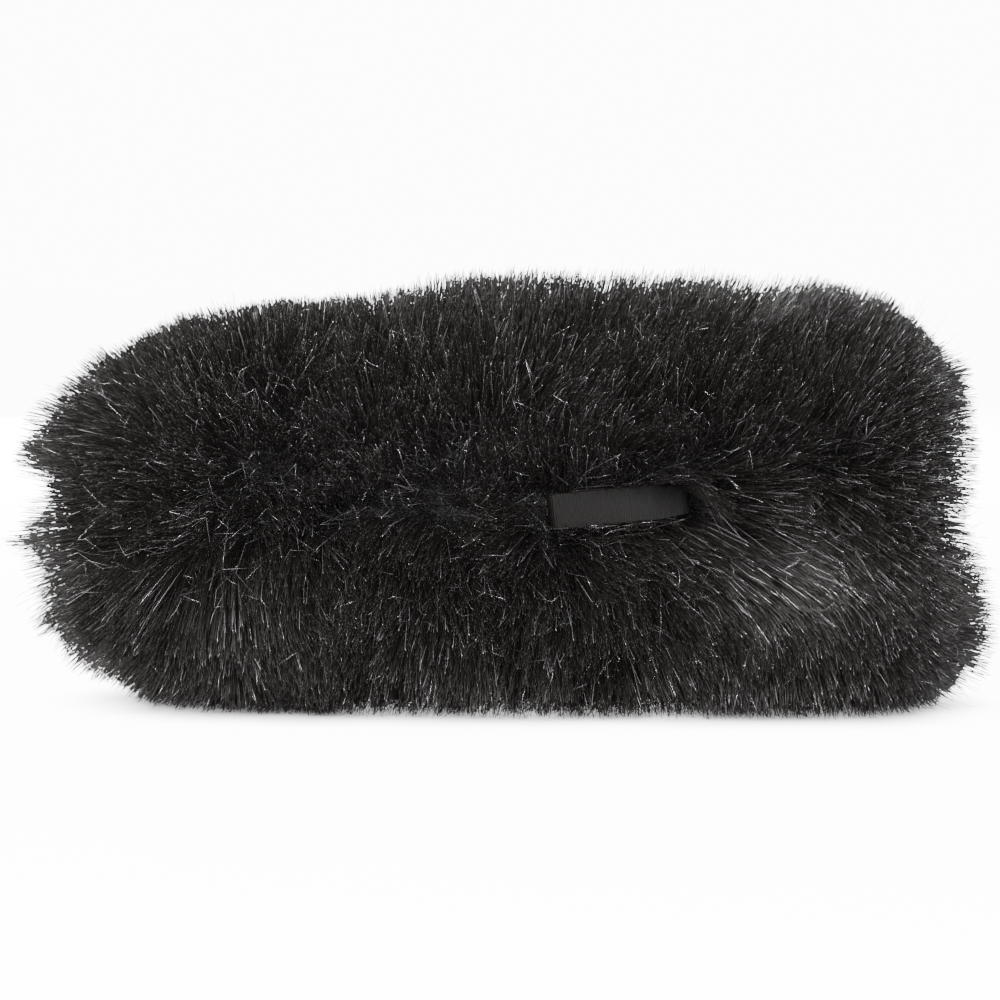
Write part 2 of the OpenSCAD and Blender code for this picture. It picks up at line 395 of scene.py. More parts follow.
class Finishes:
    """Every finish but the pile's, made once."""

    def __init__(self) -> None:
        """Makes the materials."""
        self.knit = KnitFinish().material()
        self.binding = WovenFinish("hem_twill", 260, 12, (0.006, 0.006, 0.006),
                                   (0.030, 0.029, 0.029), 0.82).material()
        self.tape = WovenFinish("seam_tape_twill", 300, 10, (0.006, 0.006, 0.006),
                                (0.028, 0.027, 0.027), 0.85).material()
        self.ribbon = WovenFinish("tag_satin", 92, 30, (0.0030, 0.0028, 0.0027),
                                  (0.0046, 0.0043, 0.0042), 0.56, 0.0, 0.0, 0.08).material()
        self.thread = ThreadFinish("sewing_thread", 3).material()
        self.cord = ThreadFinish("elastic_braid", 190, (0.014, 0.014, 0.014),
                                 (0.060, 0.060, 0.060)).material()
        self.foam = FoamFinish().material()
        self.rubber = MouldedFinish("boot_rubber", (0.0060, 0.0060, 0.0062),
                                    (0.013, 0.0125, 0.0125), (0.56, 0.76), 1400, 0.05 * MM,
                                    0.3).material()
        self.nylon = MouldedFinish("cage_nylon", (0.020, 0.020, 0.021), (0.036, 0.036, 0.037),
                                   (0.34, 0.56), 2200, 0.03 * MM).material()


def finish_piece(piece: bpy.types.Object, body: str, slot: str, material: bpy.types.Material,
                 *nodes: str) -> bpy.types.Object:
    """Gives a piece its material and body, and puts it in place of CAD nodes.

    Args:
        piece: the finished mesh.
        body: the body that it rides on.
        slot: the record's material slot; not used.
        material: its finish.
        nodes: the CAD nodes that it stands for.

    Returns:
        The piece.
    """
    piece.data.materials.append(material)
    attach(piece, body)
    if nodes:
        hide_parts(*nodes)
    log.info("%s: %d faces on %s", piece.name, len(piece.data.polygons), body)
    return piece


# ---------------------------------------------------------------- mesh helpers


def make_piece(name: str, verts: Array, faces: Array,
               uv: Array | None = None) -> bpy.types.Object:
    """Puts whole arrays into a mesh object, with its faces shaded smooth.

    Args:
        name: the piece's name.
        verts: (n, 3) places.
        faces: (m, 3) or (m, 4) vertex numbers.
        uv: (m, corners, 2) coordinates for the piece's own UV map.

    Returns:
        The object, linked to the scene.
    """
    mesh = bpy.data.meshes.new(name)
    count, corners = faces.shape
    mesh.vertices.add(len(verts))
    mesh.vertices.foreach_set("co", np.ascontiguousarray(verts, np.float32).ravel())
    mesh.loops.add(count * corners)
    mesh.loops.foreach_set("vertex_index", np.ascontiguousarray(faces, np.int32).ravel())
    mesh.polygons.add(count)
    mesh.polygons.foreach_set("loop_start", np.arange(count, dtype=np.int32) * corners)
    mesh.polygons.foreach_set("use_smooth", np.ones(count, bool))
    if uv is not None:
        layer = mesh.uv_layers.new(name=BAKE_UV)
        layer.data.foreach_set("uv", np.ascontiguousarray(uv, np.float32).ravel())
    mesh.update(calc_edges=True)
    piece = bpy.data.objects.new(name, mesh)
    bpy.context.scene.collection.objects.link(piece)
    return piece


def unit(vectors: Array) -> Array:
    """Each vector divided by its length."""
    return vectors / np.maximum(np.linalg.norm(vectors, axis=-1, keepdims=True), 1e-12)


def smoothstep(low: float, high: float, value: Array) -> Array:
    """0 below low, 1 above high, and 3t^2 - 2t^3 between them."""
    t = np.clip((value - low) / (high - low), 0.0, 1.0)
    return t * t * (3 - 2 * t)


def grid_faces(rows: int, columns: int, closed: bool) -> Array:
    """Quads of a grid of points, row by row.

    Args:
        rows: rows of points.
        columns: points in a row.
        closed: whether the last column joins the first.

    Returns:
        (m, 4) vertex numbers.
    """
    i, j = np.meshgrid(np.arange(rows - 1), np.arange(columns if closed else columns - 1),
                       indexing="ij")
    a = i * columns + j
    b = i * columns + (j + 1) % columns
    return np.stack([a, b, b + columns, a + columns], -1).reshape(-1, 4)


def outward(piece: bpy.types.Object) -> bpy.types.Object:
    """Turns every face of a closed mesh outwards.

    Args:
        piece: the mesh object.

    Returns:
        The same object.
    """
    mesh = bmesh.new()
    mesh.from_mesh(piece.data)
    bmesh.ops.recalc_face_normals(mesh, faces=mesh.faces)
    mesh.to_mesh(piece.data)
    mesh.free()
    return piece


def slab(name: str, front: Array, back: Array, closed: bool = False) -> bpy.types.Object:
    """A closed sheet between two grids of the same shape.

    Args:
        name: the piece's name.
        front: (rows, columns, 3) places of one face.
        back: the same of the other face.
        closed: whether the last column joins the first.

    Returns:
        The piece, with u over its rows and v over its columns.
    """
    rows, columns = front.shape[:2]
    half = rows * columns
    face = grid_faces(rows, columns, closed)
    parts = [face, face[:, ::-1] + half]
    ring = np.arange(columns)
    around = ring if closed else ring[:-1]
    for base in (0, (rows - 1) * columns):
        a, b = base + around, base + (around + 1) % columns
        parts.append(np.stack([a, b, b + half, a + half], 1))
    if not closed:
        down = np.arange(rows - 1) * columns
        for base in (0, columns - 1):
            a, b = base + down, base + down + columns
            parts.append(np.stack([a, b, b + half, a + half], 1))
    faces = np.concatenate(parts)
    place = np.arange(2 * half) % half
    u, v = (place // columns) / (rows - 1), (place % columns) / max(columns - 1, 1)
    uv = np.stack([u[faces], v[faces]], -1)
    verts = np.concatenate([front.reshape(-1, 3), back.reshape(-1, 3)])
    return outward(make_piece(name, verts, faces, uv))


def round_bore(profile: Array, angle: Array) -> Array:
    """Points of a profile of (x, radius) pairs, turned to each angle round the bore.

    The angle is 0 at -Y and 90 degrees on top: (x, -r cos, r sin).
    """
    x, r = profile[:, None, 0], profile[:, None, 1]
    return np.stack([x + 0 * angle, -r * np.cos(angle), r * np.sin(angle)], -1)


def rounded(corners: list[tuple[float, float]], radius: float, closed: bool) -> Array:
    """A polyline with each corner rounded by a quadratic curve.

    Each corner gives five points between the places radius before and after it, or half
    way to its neighbour where that is nearer: (1 - t)^2 a + 2 t (1 - t) corner + t^2 b.

    Args:
        corners: the polyline's points.
        radius: how far from a corner its curve starts.
        closed: whether the polyline is a loop.

    Returns:
        (n, 2) points.
    """
    points = np.array(corners, float)
    t = np.linspace(0, 1, 5)[:, None]
    made = []
    for i, corner in enumerate(points):
        if not closed and i in (0, len(points) - 1):
            made.append(corner[None])
            continue
        ends = []
        for other in (points[i - 1], points[(i + 1) % len(points)]):
            way = other - corner
            span = np.linalg.norm(way)
            ends.append(corner + way / span * min(radius, 0.45 * span))
        made.append((1 - t) ** 2 * ends[0] + 2 * t * (1 - t) * corner + t ** 2 * ends[1])
    return np.concatenate(made)


def stretched(profile: Array, longest: float) -> Array:
    """A polyline with points added so that no step is longer than this.

    Args:
        profile: (n, 2) points.
        longest: the longest step.

    Returns:
        (m, 2) points.
    """
    made = [profile[:1]]
    for a, b in zip(profile, profile[1:]):
        steps = max(1, math.ceil(np.linalg.norm(b - a) / longest))
        made.append(a + (b - a) * (np.arange(1, steps + 1) / steps)[:, None])
    return np.concatenate(made)


def turned(name: str, profile: Array, steps: int, closed: bool) -> bpy.types.Object:
    """A solid turned round the bore from a profile of (x, radius) pairs.

    Args:
        name: the piece's name.
        profile: the outline. A closed one is a loop clear of the axis, and an open one
            starts and ends on the axis.
        steps: points round the bore.
        closed: whether the outline is a loop.

    Returns:
        The piece.
    """
    angle = np.arange(steps) * 2 * math.pi / steps
    if closed:
        verts = round_bore(np.concatenate([profile, profile[:1]]), angle)
        faces = grid_faces(len(profile) + 1, steps, True) % (len(profile) * steps)
        return outward(make_piece(name, verts[:-1].reshape(-1, 3), faces))
    verts = round_bore(profile[1:-1], angle).reshape(-1, 3)
    poles = np.array([(profile[0, 0], 0, 0), (profile[-1, 0], 0, 0)])
    sides = grid_faces(len(profile) - 2, steps, True)
    piece = make_piece(name, np.concatenate([verts, poles]), sides)
    mesh = bmesh.new()
    mesh.from_mesh(piece.data)
    mesh.verts.ensure_lookup_table()
    ring = np.arange(steps)
    last_ring = (len(profile) - 3) * steps
    for start, pole in ((0, len(verts)), (last_ring, len(verts) + 1)):
        for a, b in zip(ring + start, (ring + 1) % steps + start):
            mesh.faces.new([mesh.verts[a], mesh.verts[b], mesh.verts[pole]]).smooth = True
    mesh.to_mesh(piece.data)
    mesh.free()
    return outward(piece)


class Lattice:
    """Smooth noise: random values on a cubic lattice, blended between its eight corners."""

    SIZE = 32

    def __init__(self, seed: int, channels: int = 1) -> None:
        """Draws the lattice's values, from -1 to 1."""
        rng = np.random.default_rng(seed)
        self.values = rng.uniform(-1, 1, (self.SIZE, self.SIZE, self.SIZE, channels))

    def __call__(self, places: Array, feature: float) -> Array:
        """The noise at some places.

        Args:
            places: (n, 3) places.
            feature: the size of its features in metres.

        Returns:
            (n, channels) values from -1 to 1.
        """
        scaled = places / feature
        cell = np.floor(scaled).astype(int)
        t = smoothstep(0, 1, scaled - cell)
        total = 0.0
        for corner in np.ndindex(2, 2, 2):
            index = (cell + corner) % self.SIZE
            weight = np.prod(np.where(corner, t, 1 - t), axis=-1, keepdims=True)
            total = total + weight * self.values[index[..., 0], index[..., 1], index[..., 2]]
        return total


# ---------------------------------------------------------------- the cover's shape


@dataclass
class CoverShape:
    """The cover's meridian, from the rear opening over the barrel to the nose's tip.

    A station s is the distance along the meridian's middle line, which runs inside the
    pile at mid_height above the backing. The sizes come from the frame.
    """

    foam_r: float = field(init=False)
    nose_x: float = field(init=False)
    tip_x: float = field(init=False)
    rear_x: float = field(init=False)
    pile: float = field(init=False)
    backing: float = field(init=False)
    floor_z: float = field(init=False)
    turn: float = math.radians(6)       # the seam beside the tag lies this far above the bore
    corner: float = 1.5 * MM            # radius of the backing's rear edge
    inward: float = math.radians(104)   # the last pile at the opening leans inwards
    nose_extra: float = 0.45            # how much closer the roots stand at the nose's tip
    rear_extra: float = 0.35            # and at the opening
    left_out: float = 0.5               # share of the roots left out below
    steps: int = 400

    def __post_init__(self) -> None:
        """Reads the sizes and tabulates the meridian."""
        low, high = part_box("foam_sleeve")
        self.foam_r = high.z
        self.nose_x, self.rear_x = low.x, high.x
        self.tip_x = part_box("foam_nose")[0].x
        ring_low, ring_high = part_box("rear_fur_ring")
        self.pile = ring_high.x - ring_low.x
        self.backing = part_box("upper_fur_panel")[1].z - self.pile
        self.floor_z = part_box("lower_fur_panel")[0].z
        self.mid_height = 0.65 * self.pile
        self._tabulate()

    def _tabulate(self) -> None:
        """Tables of root place and standing direction against station.

        Over the rear edge the root is on an arc of radius corner and the direction turns
        from inward-leaning to radial. On the barrel the root is (x, backing) and the
        direction is radial. On the nose both follow an ellipse: at parameter t the root is
        (nose_x - a cos t, b sin t) and the direction is (-cos t, sin t).
        """
        n = self.steps
        lean = np.linspace(self.inward, 0, n)
        held = np.minimum(lean, math.pi / 2)
        rear = np.stack([self.rear_x + self.corner * (np.sin(held) - 1) + self.corner,
                         self.backing - self.corner + self.corner * np.cos(held),
                         np.sin(lean), np.cos(lean)], 1)
        along = np.linspace(self.rear_x, self.nose_x, n)
        barrel = np.stack([along, np.full(n, self.backing), np.zeros(n), np.ones(n)], 1)
        t = np.linspace(math.pi / 2, POLE, n)
        length = (self.nose_x - self.tip_x) + (self.backing - self.foam_r)
        nose = np.stack([self.nose_x - length * np.cos(t), self.backing * np.sin(t),
                         -np.cos(t), np.sin(t)], 1)
        table = np.concatenate([rear, barrel[1:], nose[1:]])
        middle = table[:, :2] + self.mid_height * table[:, 2:]
        step = np.linalg.norm(np.diff(middle, axis=0), axis=1)
        self.station = np.concatenate([[0.0], np.cumsum(step)])
        self.table = table
        self.middle_r = np.maximum(middle[:, 1], 1e-5)
        self.rear_end = float(self.station[n - 1])
        self.nose_start = float(self.station[2 * n - 2])
        self.length = float(self.station[-1])

    def at(self, s: Array, column: int) -> Array:
        """A column of the table, interpolated at stations s."""
        return np.interp(s, self.station, self.table[:, column])

    def radius(self, s: Array) -> Array:
        """The middle line's distance from the bore's axis."""
        return np.interp(s, self.station, self.middle_r)

    def spread(self, rng: np.random.Generator, count: int) -> tuple[Array, Array]:
        """Spreads root places over the pile's outer surface.

        They are closer on the nose and round the rear, where the pile fans out, and
        further apart below, where it lies pressed flat.

        Args:
            rng: the random numbers.
            count: how many places.

        Returns:
            Their stations and angles.
        """
        fanned = 1 + self.nose_extra * smoothstep(self.nose_start, self.length, self.station)
        fanned += self.rear_extra * smoothstep(self.rear_end, 0, self.station)
        dense = self.middle_r * fanned
        weight = np.concatenate([[0.0], np.cumsum(
            np.diff(self.station) * (dense[1:] + dense[:-1]) / 2)])
        s = np.interp(rng.uniform(0, weight[-1], 2 * count), weight, self.station)
        angle = rng.uniform(-math.pi, math.pi, 2 * count)
        barrel = (s > self.rear_end) & (s < self.nose_start)
        under = smoothstep(-0.55, -0.85, np.sin(angle)) * barrel
        kept = np.flatnonzero(rng.uniform(0, 1, 2 * count) > self.left_out * under)[:count]
        return s[kept], angle[kept]


@dataclass
class Roots:
    """Hair roots as arrays: station, angle, place and the three directions there."""

    s: Array
    angle: Array
    place: Array
    out: Array
    back: Array
    round: Array

    @classmethod
    def on(cls, shape: CoverShape, s: Array, angle: Array) -> "Roots":
        """Roots at stations and angles. The angle is 0 beside the tag and 90 degrees on top.

        A meridian direction (dx, dr) at an angle becomes (dx, -dr cos, dr sin). back runs
        along the backing towards the rear, and round runs with the growing angle.

        Args:
            shape: the cover.
            s: stations.
            angle: angles round the bore.

        Returns:
            The roots.
        """
        cos, sin = np.cos(angle), np.sin(angle)
        x, r = shape.at(s, 0), shape.at(s, 1)
        dx, dr = shape.at(s, 2), shape.at(s, 3)
        return cls(s, angle,
                   np.stack([x, -r * cos, r * sin], 1),
                   unit(np.stack([dx, -dr * cos, dr * sin], 1)),
                   unit(np.stack([dr, dx * cos, -dx * sin], 1)),
                   np.stack([np.zeros_like(cos), sin, cos], 1))

    def __getitem__(self, chosen: Array) -> "Roots":
        """The chosen roots."""
        return Roots(self.s[chosen], self.angle[chosen], self.place[chosen],
                     self.out[chosen], self.back[chosen], self.round[chosen])


def from_seam(shape: CoverShape, roots: Roots) -> Array:
    """Distance along the backing from the nearer side seam.

    Args:
        shape: the cover.
        roots: where.

    Returns:
        The distances, positive above the seam.
    """
    off = roots.angle - shape.turn
    near = np.arctan2(np.sin(off), np.cos(off))
    folded = np.where(np.abs(near) > math.pi / 2, np.sign(near) * math.pi - near, near)
    return folded * np.hypot(roots.place[:, 1], roots.place[:, 2])


# ---------------------------------------------------------------- the pile


@dataclass(frozen=True)
class Stretch:
    """A stretch of the cover where the pile is combed, or catches more light and has more pale
    hairs as a painted highlight.
    """

    x: float
    angle: float            # degrees round the bore
    reach: float            # along the bore
    sweep: float            # degrees
    back: float = 0.0       # slope towards the rear
    turn: float = 0.0       # slope with the growing angle
    gloss: float = 0.0      # how many more of its hairs are pale and glossier: a painted highlight

    def bell(self, roots: Roots) -> Array:
        """The stretch's weight: exp(-(dx / reach)^2 - (da / sweep)^2).

        Args:
            roots: where.

        Returns:
            A weight from 0 to 1 for each root.
        """
        off = (np.degrees(roots.angle) - self.angle + 180) % 360 - 180
        return np.exp(-(((roots.place[:, 0] - self.x) / self.reach) ** 2)
                      - (off / self.sweep) ** 2)


@dataclass(frozen=True)
class Lock:
    """A lock at the nose: where its hairs root, and how they stretch and draw together."""

    y: float
    z: float
    reach: float
    stretch: float
    pull: float
    tip: tuple[float, float, float]


STRETCHES = (
    Stretch(-40 * MM, -5, 27 * MM, 17, back=1.30, turn=-0.76),
    Stretch(-168 * MM, -30, 26 * MM, 27, back=0.30, turn=-0.30),
    Stretch(-20 * MM, 62, 44 * MM, 60, back=0.52, turn=0.1),
    Stretch(-95 * MM, 75, 60 * MM, 50, back=0.16),
    Stretch(-60 * MM, 150, 60 * MM, 40, back=0.5, turn=0.2),
    Stretch(-150 * MM, 215, 50 * MM, 35, back=0.3, turn=0.5),
    # these two paint a highlight: more pale, glossier hairs where the swept pile catches the light
    Stretch(-37 * MM, -8, 27 * MM, 18, gloss=0.055),
    Stretch(-8 * MM, 34, 14 * MM, 26, gloss=0.035),
)

LOCKS = (
    Lock(-8 * MM, 10.5 * MM, 5.5 * MM, 0.24, 0.52, (-225 * MM, -10 * MM, 12.5 * MM)),
    Lock(-6 * MM, -2.6 * MM, 4.2 * MM, 0.58, 0.62, (-229 * MM, -7 * MM, -3.0 * MM)),
    Lock(-10 * MM, -13 * MM, 5 * MM, -0.05, 0.0, (-214 * MM, -14 * MM, -12 * MM)),
)


@dataclass
class PileLie:
    """How the pile lies: the slope of each hair against its standing direction."""

    shape: CoverShape
    seed: int = 11
    # Places along X, and the slope away from the seam there, above it and below it
    parting_x: tuple[float, ...] = (-0.23, -0.165, -0.140, -0.110, -0.054, -0.040, -0.014)
    parting_up: tuple[float, ...] = (0.1, 0.22, 0.20, 0.06, 0.08, -0.08, -0.14)
    parting_down: tuple[float, ...] = (0.2, 0.34, 0.28, 0.17, 0.22, 0.26, 0.20)
    parting_reach: float = 7 * MM
    wander: float = 2.6 * MM            # how far the parting strays from the seam
    dip: float = 6.0 * MM               # how far below the seam it runs on the nose
    nose_ways: tuple[float, ...] = (-90, -60, -40, -25, -20, -14, -7, -1, 3, 11, 30, 45, 65,
                                  90)
    nose_heights: tuple[float, ...] = (
        0.93, 1.00, 1.05, 1.09, 1.03, 0.76, 0.65, 0.52, 0.56, 0.79, 0.95, 0.87, 0.82, 0.76)
    # Shares of the way over the rear edge, from the opening, and what is cut off on top there
    rear_ways: tuple[float, ...] = (0, 0.1, 0.2, 0.3, 0.42, 0.6, 0.8, 0.9, 1.0, 1.1, 1.25, 1.5)
    rear_cuts: tuple[float, ...] = (
        0.03, 0.06, 0.145, 0.23, 0.283, 0.277, 0.266, 0.300, 0.290, 0.150, 0.060, 0.005)
    droop: float = 0.10                 # slope of the pile's own weight
    wander_size: float = 19 * MM        # from one bend of the parting to the next
    wide_slope: float = 0.24            # uneven slopes, and the size of a patch of them
    wide_size: float = 26 * MM
    near_slope: float = 0.25
    near_size: float = 8 * MM
    # Lengths as shares of the pile. A pair is the share below and what is added to it on top
    barrel_height: float = 0.97
    middle_gain: float = 0.02           # how much longer the barrel's middle is
    front_cut: tuple[float, float] = (0.04, 0.21)
    corner_cut: tuple[float, float] = (0.12, 0.33)
    mouth_gain: tuple[float, float] = (0.10, -0.11)
    mouth_low: float = 0.08             # what the pile below the opening has more
    rear_middle: float = 0.64           # share of the way over the rear edge where it is cut most
    rear_spread: float = 0.38
    split_reach: float = 5.5 * MM       # the notch where the seam meets the rear edge
    split_depth: float = 0.13
    wide: Lattice = field(init=False)
    near: Lattice = field(init=False)

    def __post_init__(self) -> None:
        """Draws the noise that makes the pile uneven."""
        self.wide = Lattice(self.seed, 2)
        self.near = Lattice(self.seed + 1, 2)

    def combed(self, roots: Roots) -> tuple[Array, Array]:
        """Slopes of the combed stretches: each one's bell times its slopes.

        Args:
            roots: where.

        Returns:
            The slopes back and round.
        """
        back = np.zeros(len(roots.s))
        turn = np.zeros(len(roots.s))
        for stretch in STRETCHES:
            bell = stretch.bell(roots)
            back += bell * stretch.back
            turn += bell * stretch.turn
        return back, turn

    def glossy(self, roots: Roots) -> Array:
        """How many more pale, glossier hairs there are where the swept pile catches the light: a
        painted highlight.
        """
        return sum(stretch.gloss * stretch.bell(roots) for stretch in STRETCHES)

    def slope(self, roots: Roots) -> Array:
        """The pile's slope: the parting, the combed stretches, its own weight and unevenness.

        Beside the parting the slope falls off as exp(-q / reach), where q is the distance
        from the seam's line, which wanders and dips on the nose.

        Args:
            roots: where.

        Returns:
            (n, 3) vectors along the backing.
        """
        x = roots.place[:, 0]
        q = (from_seam(self.shape, roots)
             + self.wander * self.wide(roots.place, self.wander_size)[:, 0]
             + self.dip * smoothstep(-105 * MM, -165 * MM, x))
        strength = np.where(q > 0, np.interp(x, self.parting_x, self.parting_up),
                            np.interp(x, self.parting_x, self.parting_down))
        side = np.where(np.cos(roots.angle - self.shape.turn) > 0, 1.0, -1.0)
        part = np.sign(q) * side * strength * np.exp(-np.abs(q) / self.parting_reach)
        back, turn = self.combed(roots)
        barrel = smoothstep(0.3, 1.0, roots.s / self.shape.rear_end)
        uneven = (self.wide_slope * self.wide(roots.place, self.wide_size)
                  + self.near_slope * self.near(roots.place, self.near_size))
        turn = turn + part * barrel - self.droop * np.cos(roots.angle)
        back = back * barrel
        return ((back + uneven[:, 0])[:, None] * roots.back
                + (turn + uneven[:, 1])[:, None] * roots.round)

    def height(self, roots: Roots) -> Array:
        """The pile's length.

        Along the barrel it is a little shorter towards the nose and above. On the nose it
        follows a table over the way that the hair points, from -90 degrees, down, over 0,
        forward, to 90, up. Over the rear edge it dips in a bell below and by a table on top.

        Args:
            roots: where.

        Returns:
            The length at each root.
        """
        x = roots.place[:, 0]
        on_top = 0.5 + 0.5 * np.sin(roots.angle)

        def above_low(pair: tuple[float, float]) -> Array:
            """A pair's share below, with its second share added towards the top."""
            return pair[0] + pair[1] * on_top

        barrel = (self.barrel_height + self.middle_gain * smoothstep(-60 * MM, -75 * MM, x)
                  - smoothstep(-105 * MM, -150 * MM, x) * above_low(self.front_cut))
        points = np.degrees(np.arctan2(roots.out[:, 2], -roots.out[:, 0]))
        nose = np.interp(points, self.nose_ways, self.nose_heights)
        ahead = smoothstep(0.05, 0.5, -roots.out[:, 0])
        around = roots.s / self.shape.rear_end
        bell = np.exp(-(((around - self.rear_middle) / self.rear_spread) ** 2))
        corner = bell * above_low(self.corner_cut) + on_top ** 2 * (
            np.interp(around, self.rear_ways, self.rear_cuts) - sum(self.corner_cut) * bell)
        at_rear = smoothstep(0.40, 0.10, around) * (
            above_low(self.mouth_gain) + self.mouth_low * (1 - on_top) ** 4)
        seam = np.exp(-((from_seam(self.shape, roots) / self.split_reach) ** 2))
        split = seam * smoothstep(0.8, 0.3, around) * self.split_depth
        return self.shape.pile * (barrel + (nose - barrel) * ahead - corner + at_rear - split)

    def locks(self, roots: Roots, path: Array, share: Array) -> Array:
        """Stretches the nose's locks and draws their hairs together.

        A lock is a bell round a place on the nose. By that weight w a point at share t of
        a hair moves by w t (root to tip) times the lock's stretch, and by w t^2 times its
        pull towards the lock's own tip.

        Args:
            roots: the hairs' roots.
            path: (n, joints, 3) points of the hairs.
            share: how far along a hair each joint is.

        Returns:
            The moved points.
        """
        on_nose = smoothstep(self.shape.tip_x + 22 * MM, self.shape.tip_x + 8 * MM,
                             roots.place[:, 0])
        for lock in LOCKS:
            off = np.hypot(roots.place[:, 1] - lock.y, roots.place[:, 2] - lock.z) / lock.reach
            weight = (np.exp(-(off ** 2)) * on_nose)[:, None, None] * share[None, :, None]
            path = path + weight * lock.stretch * (path[:, -1:] - path[:, :1])
            pull = lock.pull * (np.array(lock.tip) - path)
            path = path + weight * share[None, :, None] * pull
        return path


@dataclass
class Tufts:
    """Centres that gather the hairs round them: one in each cell of a jittered net."""

    shape: CoverShape
    spacing: float
    seed: int

    def __post_init__(self) -> None:
        """Lays rows along the meridian, each with cells round the bore."""
        rng = np.random.default_rng(self.seed)
        self.rows = max(1, int(self.shape.length / self.spacing))
        middle = (np.arange(self.rows) + 0.5) * self.shape.length / self.rows
        girth = 2 * math.pi * self.shape.radius(middle)
        self.cells = np.maximum(1, girth / self.spacing).astype(int)
        self.first = np.concatenate([[0], np.cumsum(self.cells)])
        total = int(self.first[-1])
        row = np.repeat(np.arange(self.rows), self.cells)
        cell = np.arange(total) - self.first[row]
        jitter = rng.uniform(0.1, 0.9, (total, 2))
        self.s = (row + jitter[:, 0]) * self.shape.length / self.rows
        self.angle = (cell + jitter[:, 1]) * 2 * math.pi / self.cells[row] - math.pi
        self.draw = rng.uniform(-1, 1, (total, 4))

    def nearest(self, s: Array, angle: Array) -> Array:
        """Finds the nearest tuft out of the nine cells about each root.

        Args:
            s: the roots' stations.
            angle: the roots' angles.

        Returns:
            The numbers of the tufts.
        """
        row0 = np.floor(s / self.shape.length * self.rows).astype(int)
        best = np.zeros(len(s), int)
        least = np.full(len(s), np.inf)
        radius = self.shape.radius(s)
        for dr in (-1, 0, 1):
            row = np.clip(row0 + dr, 0, self.rows - 1)
            cell0 = np.floor((angle + math.pi) / (2 * math.pi) * self.cells[row]).astype(int)
            for dc in (-1, 0, 1):
                tuft = self.first[row] + (cell0 + dc) % self.cells[row]
                off = self.angle[tuft] - angle
                off = np.arctan2(np.sin(off), np.cos(off)) * radius
                gap = np.hypot(self.s[tuft] - s, off)
                closer = gap < least
                best[closer] = tuft[closer]
                least[closer] = gap[closer]
        return best


class Hair(Enum):
    """The kinds of hair in the pile."""

    GUARD = "guard"
    UNDER = "under"
    STRAY = "stray"


@dataclass(frozen=True)
class HairKind:
    """Sizes of one kind of hair."""

    count: int
    joints: tuple[float, ...]      # shares of the length where the hair bends, up to its tip
    thick: float
    length: tuple[float, float]    # shortest and longest share of the pile's height
    gather: float                  # how far a tip is drawn to its tuft's
    wild: float                    # how far a hair's own slope strays


HAIRS = {
    Hair.GUARD: HairKind(97500, (0.0, 0.50, 0.96, 1.0), 0.195 * MM, (0.945, 1.01), 0.50, 0.18),
    Hair.UNDER: HairKind(9000, (0.0, 0.94, 1.0), 0.42 * MM, (0.62, 0.95), 0.30, 0.12),
    Hair.STRAY: HairKind(7200, (0.0, 0.35, 0.64, 0.92, 1.0), 0.13 * MM, (0.84, 1.05), 0.0, 0.65),
}


@dataclass
class Tag:
    """The side tag's place and size, for the hairs to keep clear of it."""

    shape: CoverShape
    tilt: float = math.radians(6)
    half_len: float = 16.5 * MM
    half_w: float = 4.25 * MM

    def __post_init__(self) -> None:
        """Reads the tag's box."""
        low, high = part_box("side_tag")
        self.centre_x = (low.x + high.x) / 2
        self.face = -low.y

    def local(self, places: Array) -> tuple[Array, Array, Array]:
        """Turns places into the tag's own directions.

        Args:
            places: (..., 3) places.

        Returns:
            How far each is along the tag, out from the bore, and across the tag.
        """
        turn, tilt = self.shape.turn, self.tilt
        x = places[..., 0] - self.centre_x
        y, z = places[..., 1], places[..., 2]
        out = -(y * math.cos(turn) - z * math.sin(turn))
        up = y * math.sin(turn) + z * math.cos(turn)
        return (x * math.cos(tilt) + up * math.sin(tilt), out,
                -x * math.sin(tilt) + up * math.cos(tilt))

    def world(self, along: Array, out: Array, across: Array) -> Array:
        """The reverse of local.

        Args:
            along: how far along the tag.
            out: how far out from the bore.
            across: how far across the tag.

        Returns:
            (..., 3) places.
        """
        turn, tilt = self.shape.turn, self.tilt
        x = along * math.cos(tilt) - across * math.sin(tilt)
        up = along * math.sin(tilt) + across * math.cos(tilt)
        return np.stack([x + self.centre_x,
                         -out * math.cos(turn) + up * math.sin(turn),
                         out * math.sin(turn) + up * math.cos(turn)], -1)


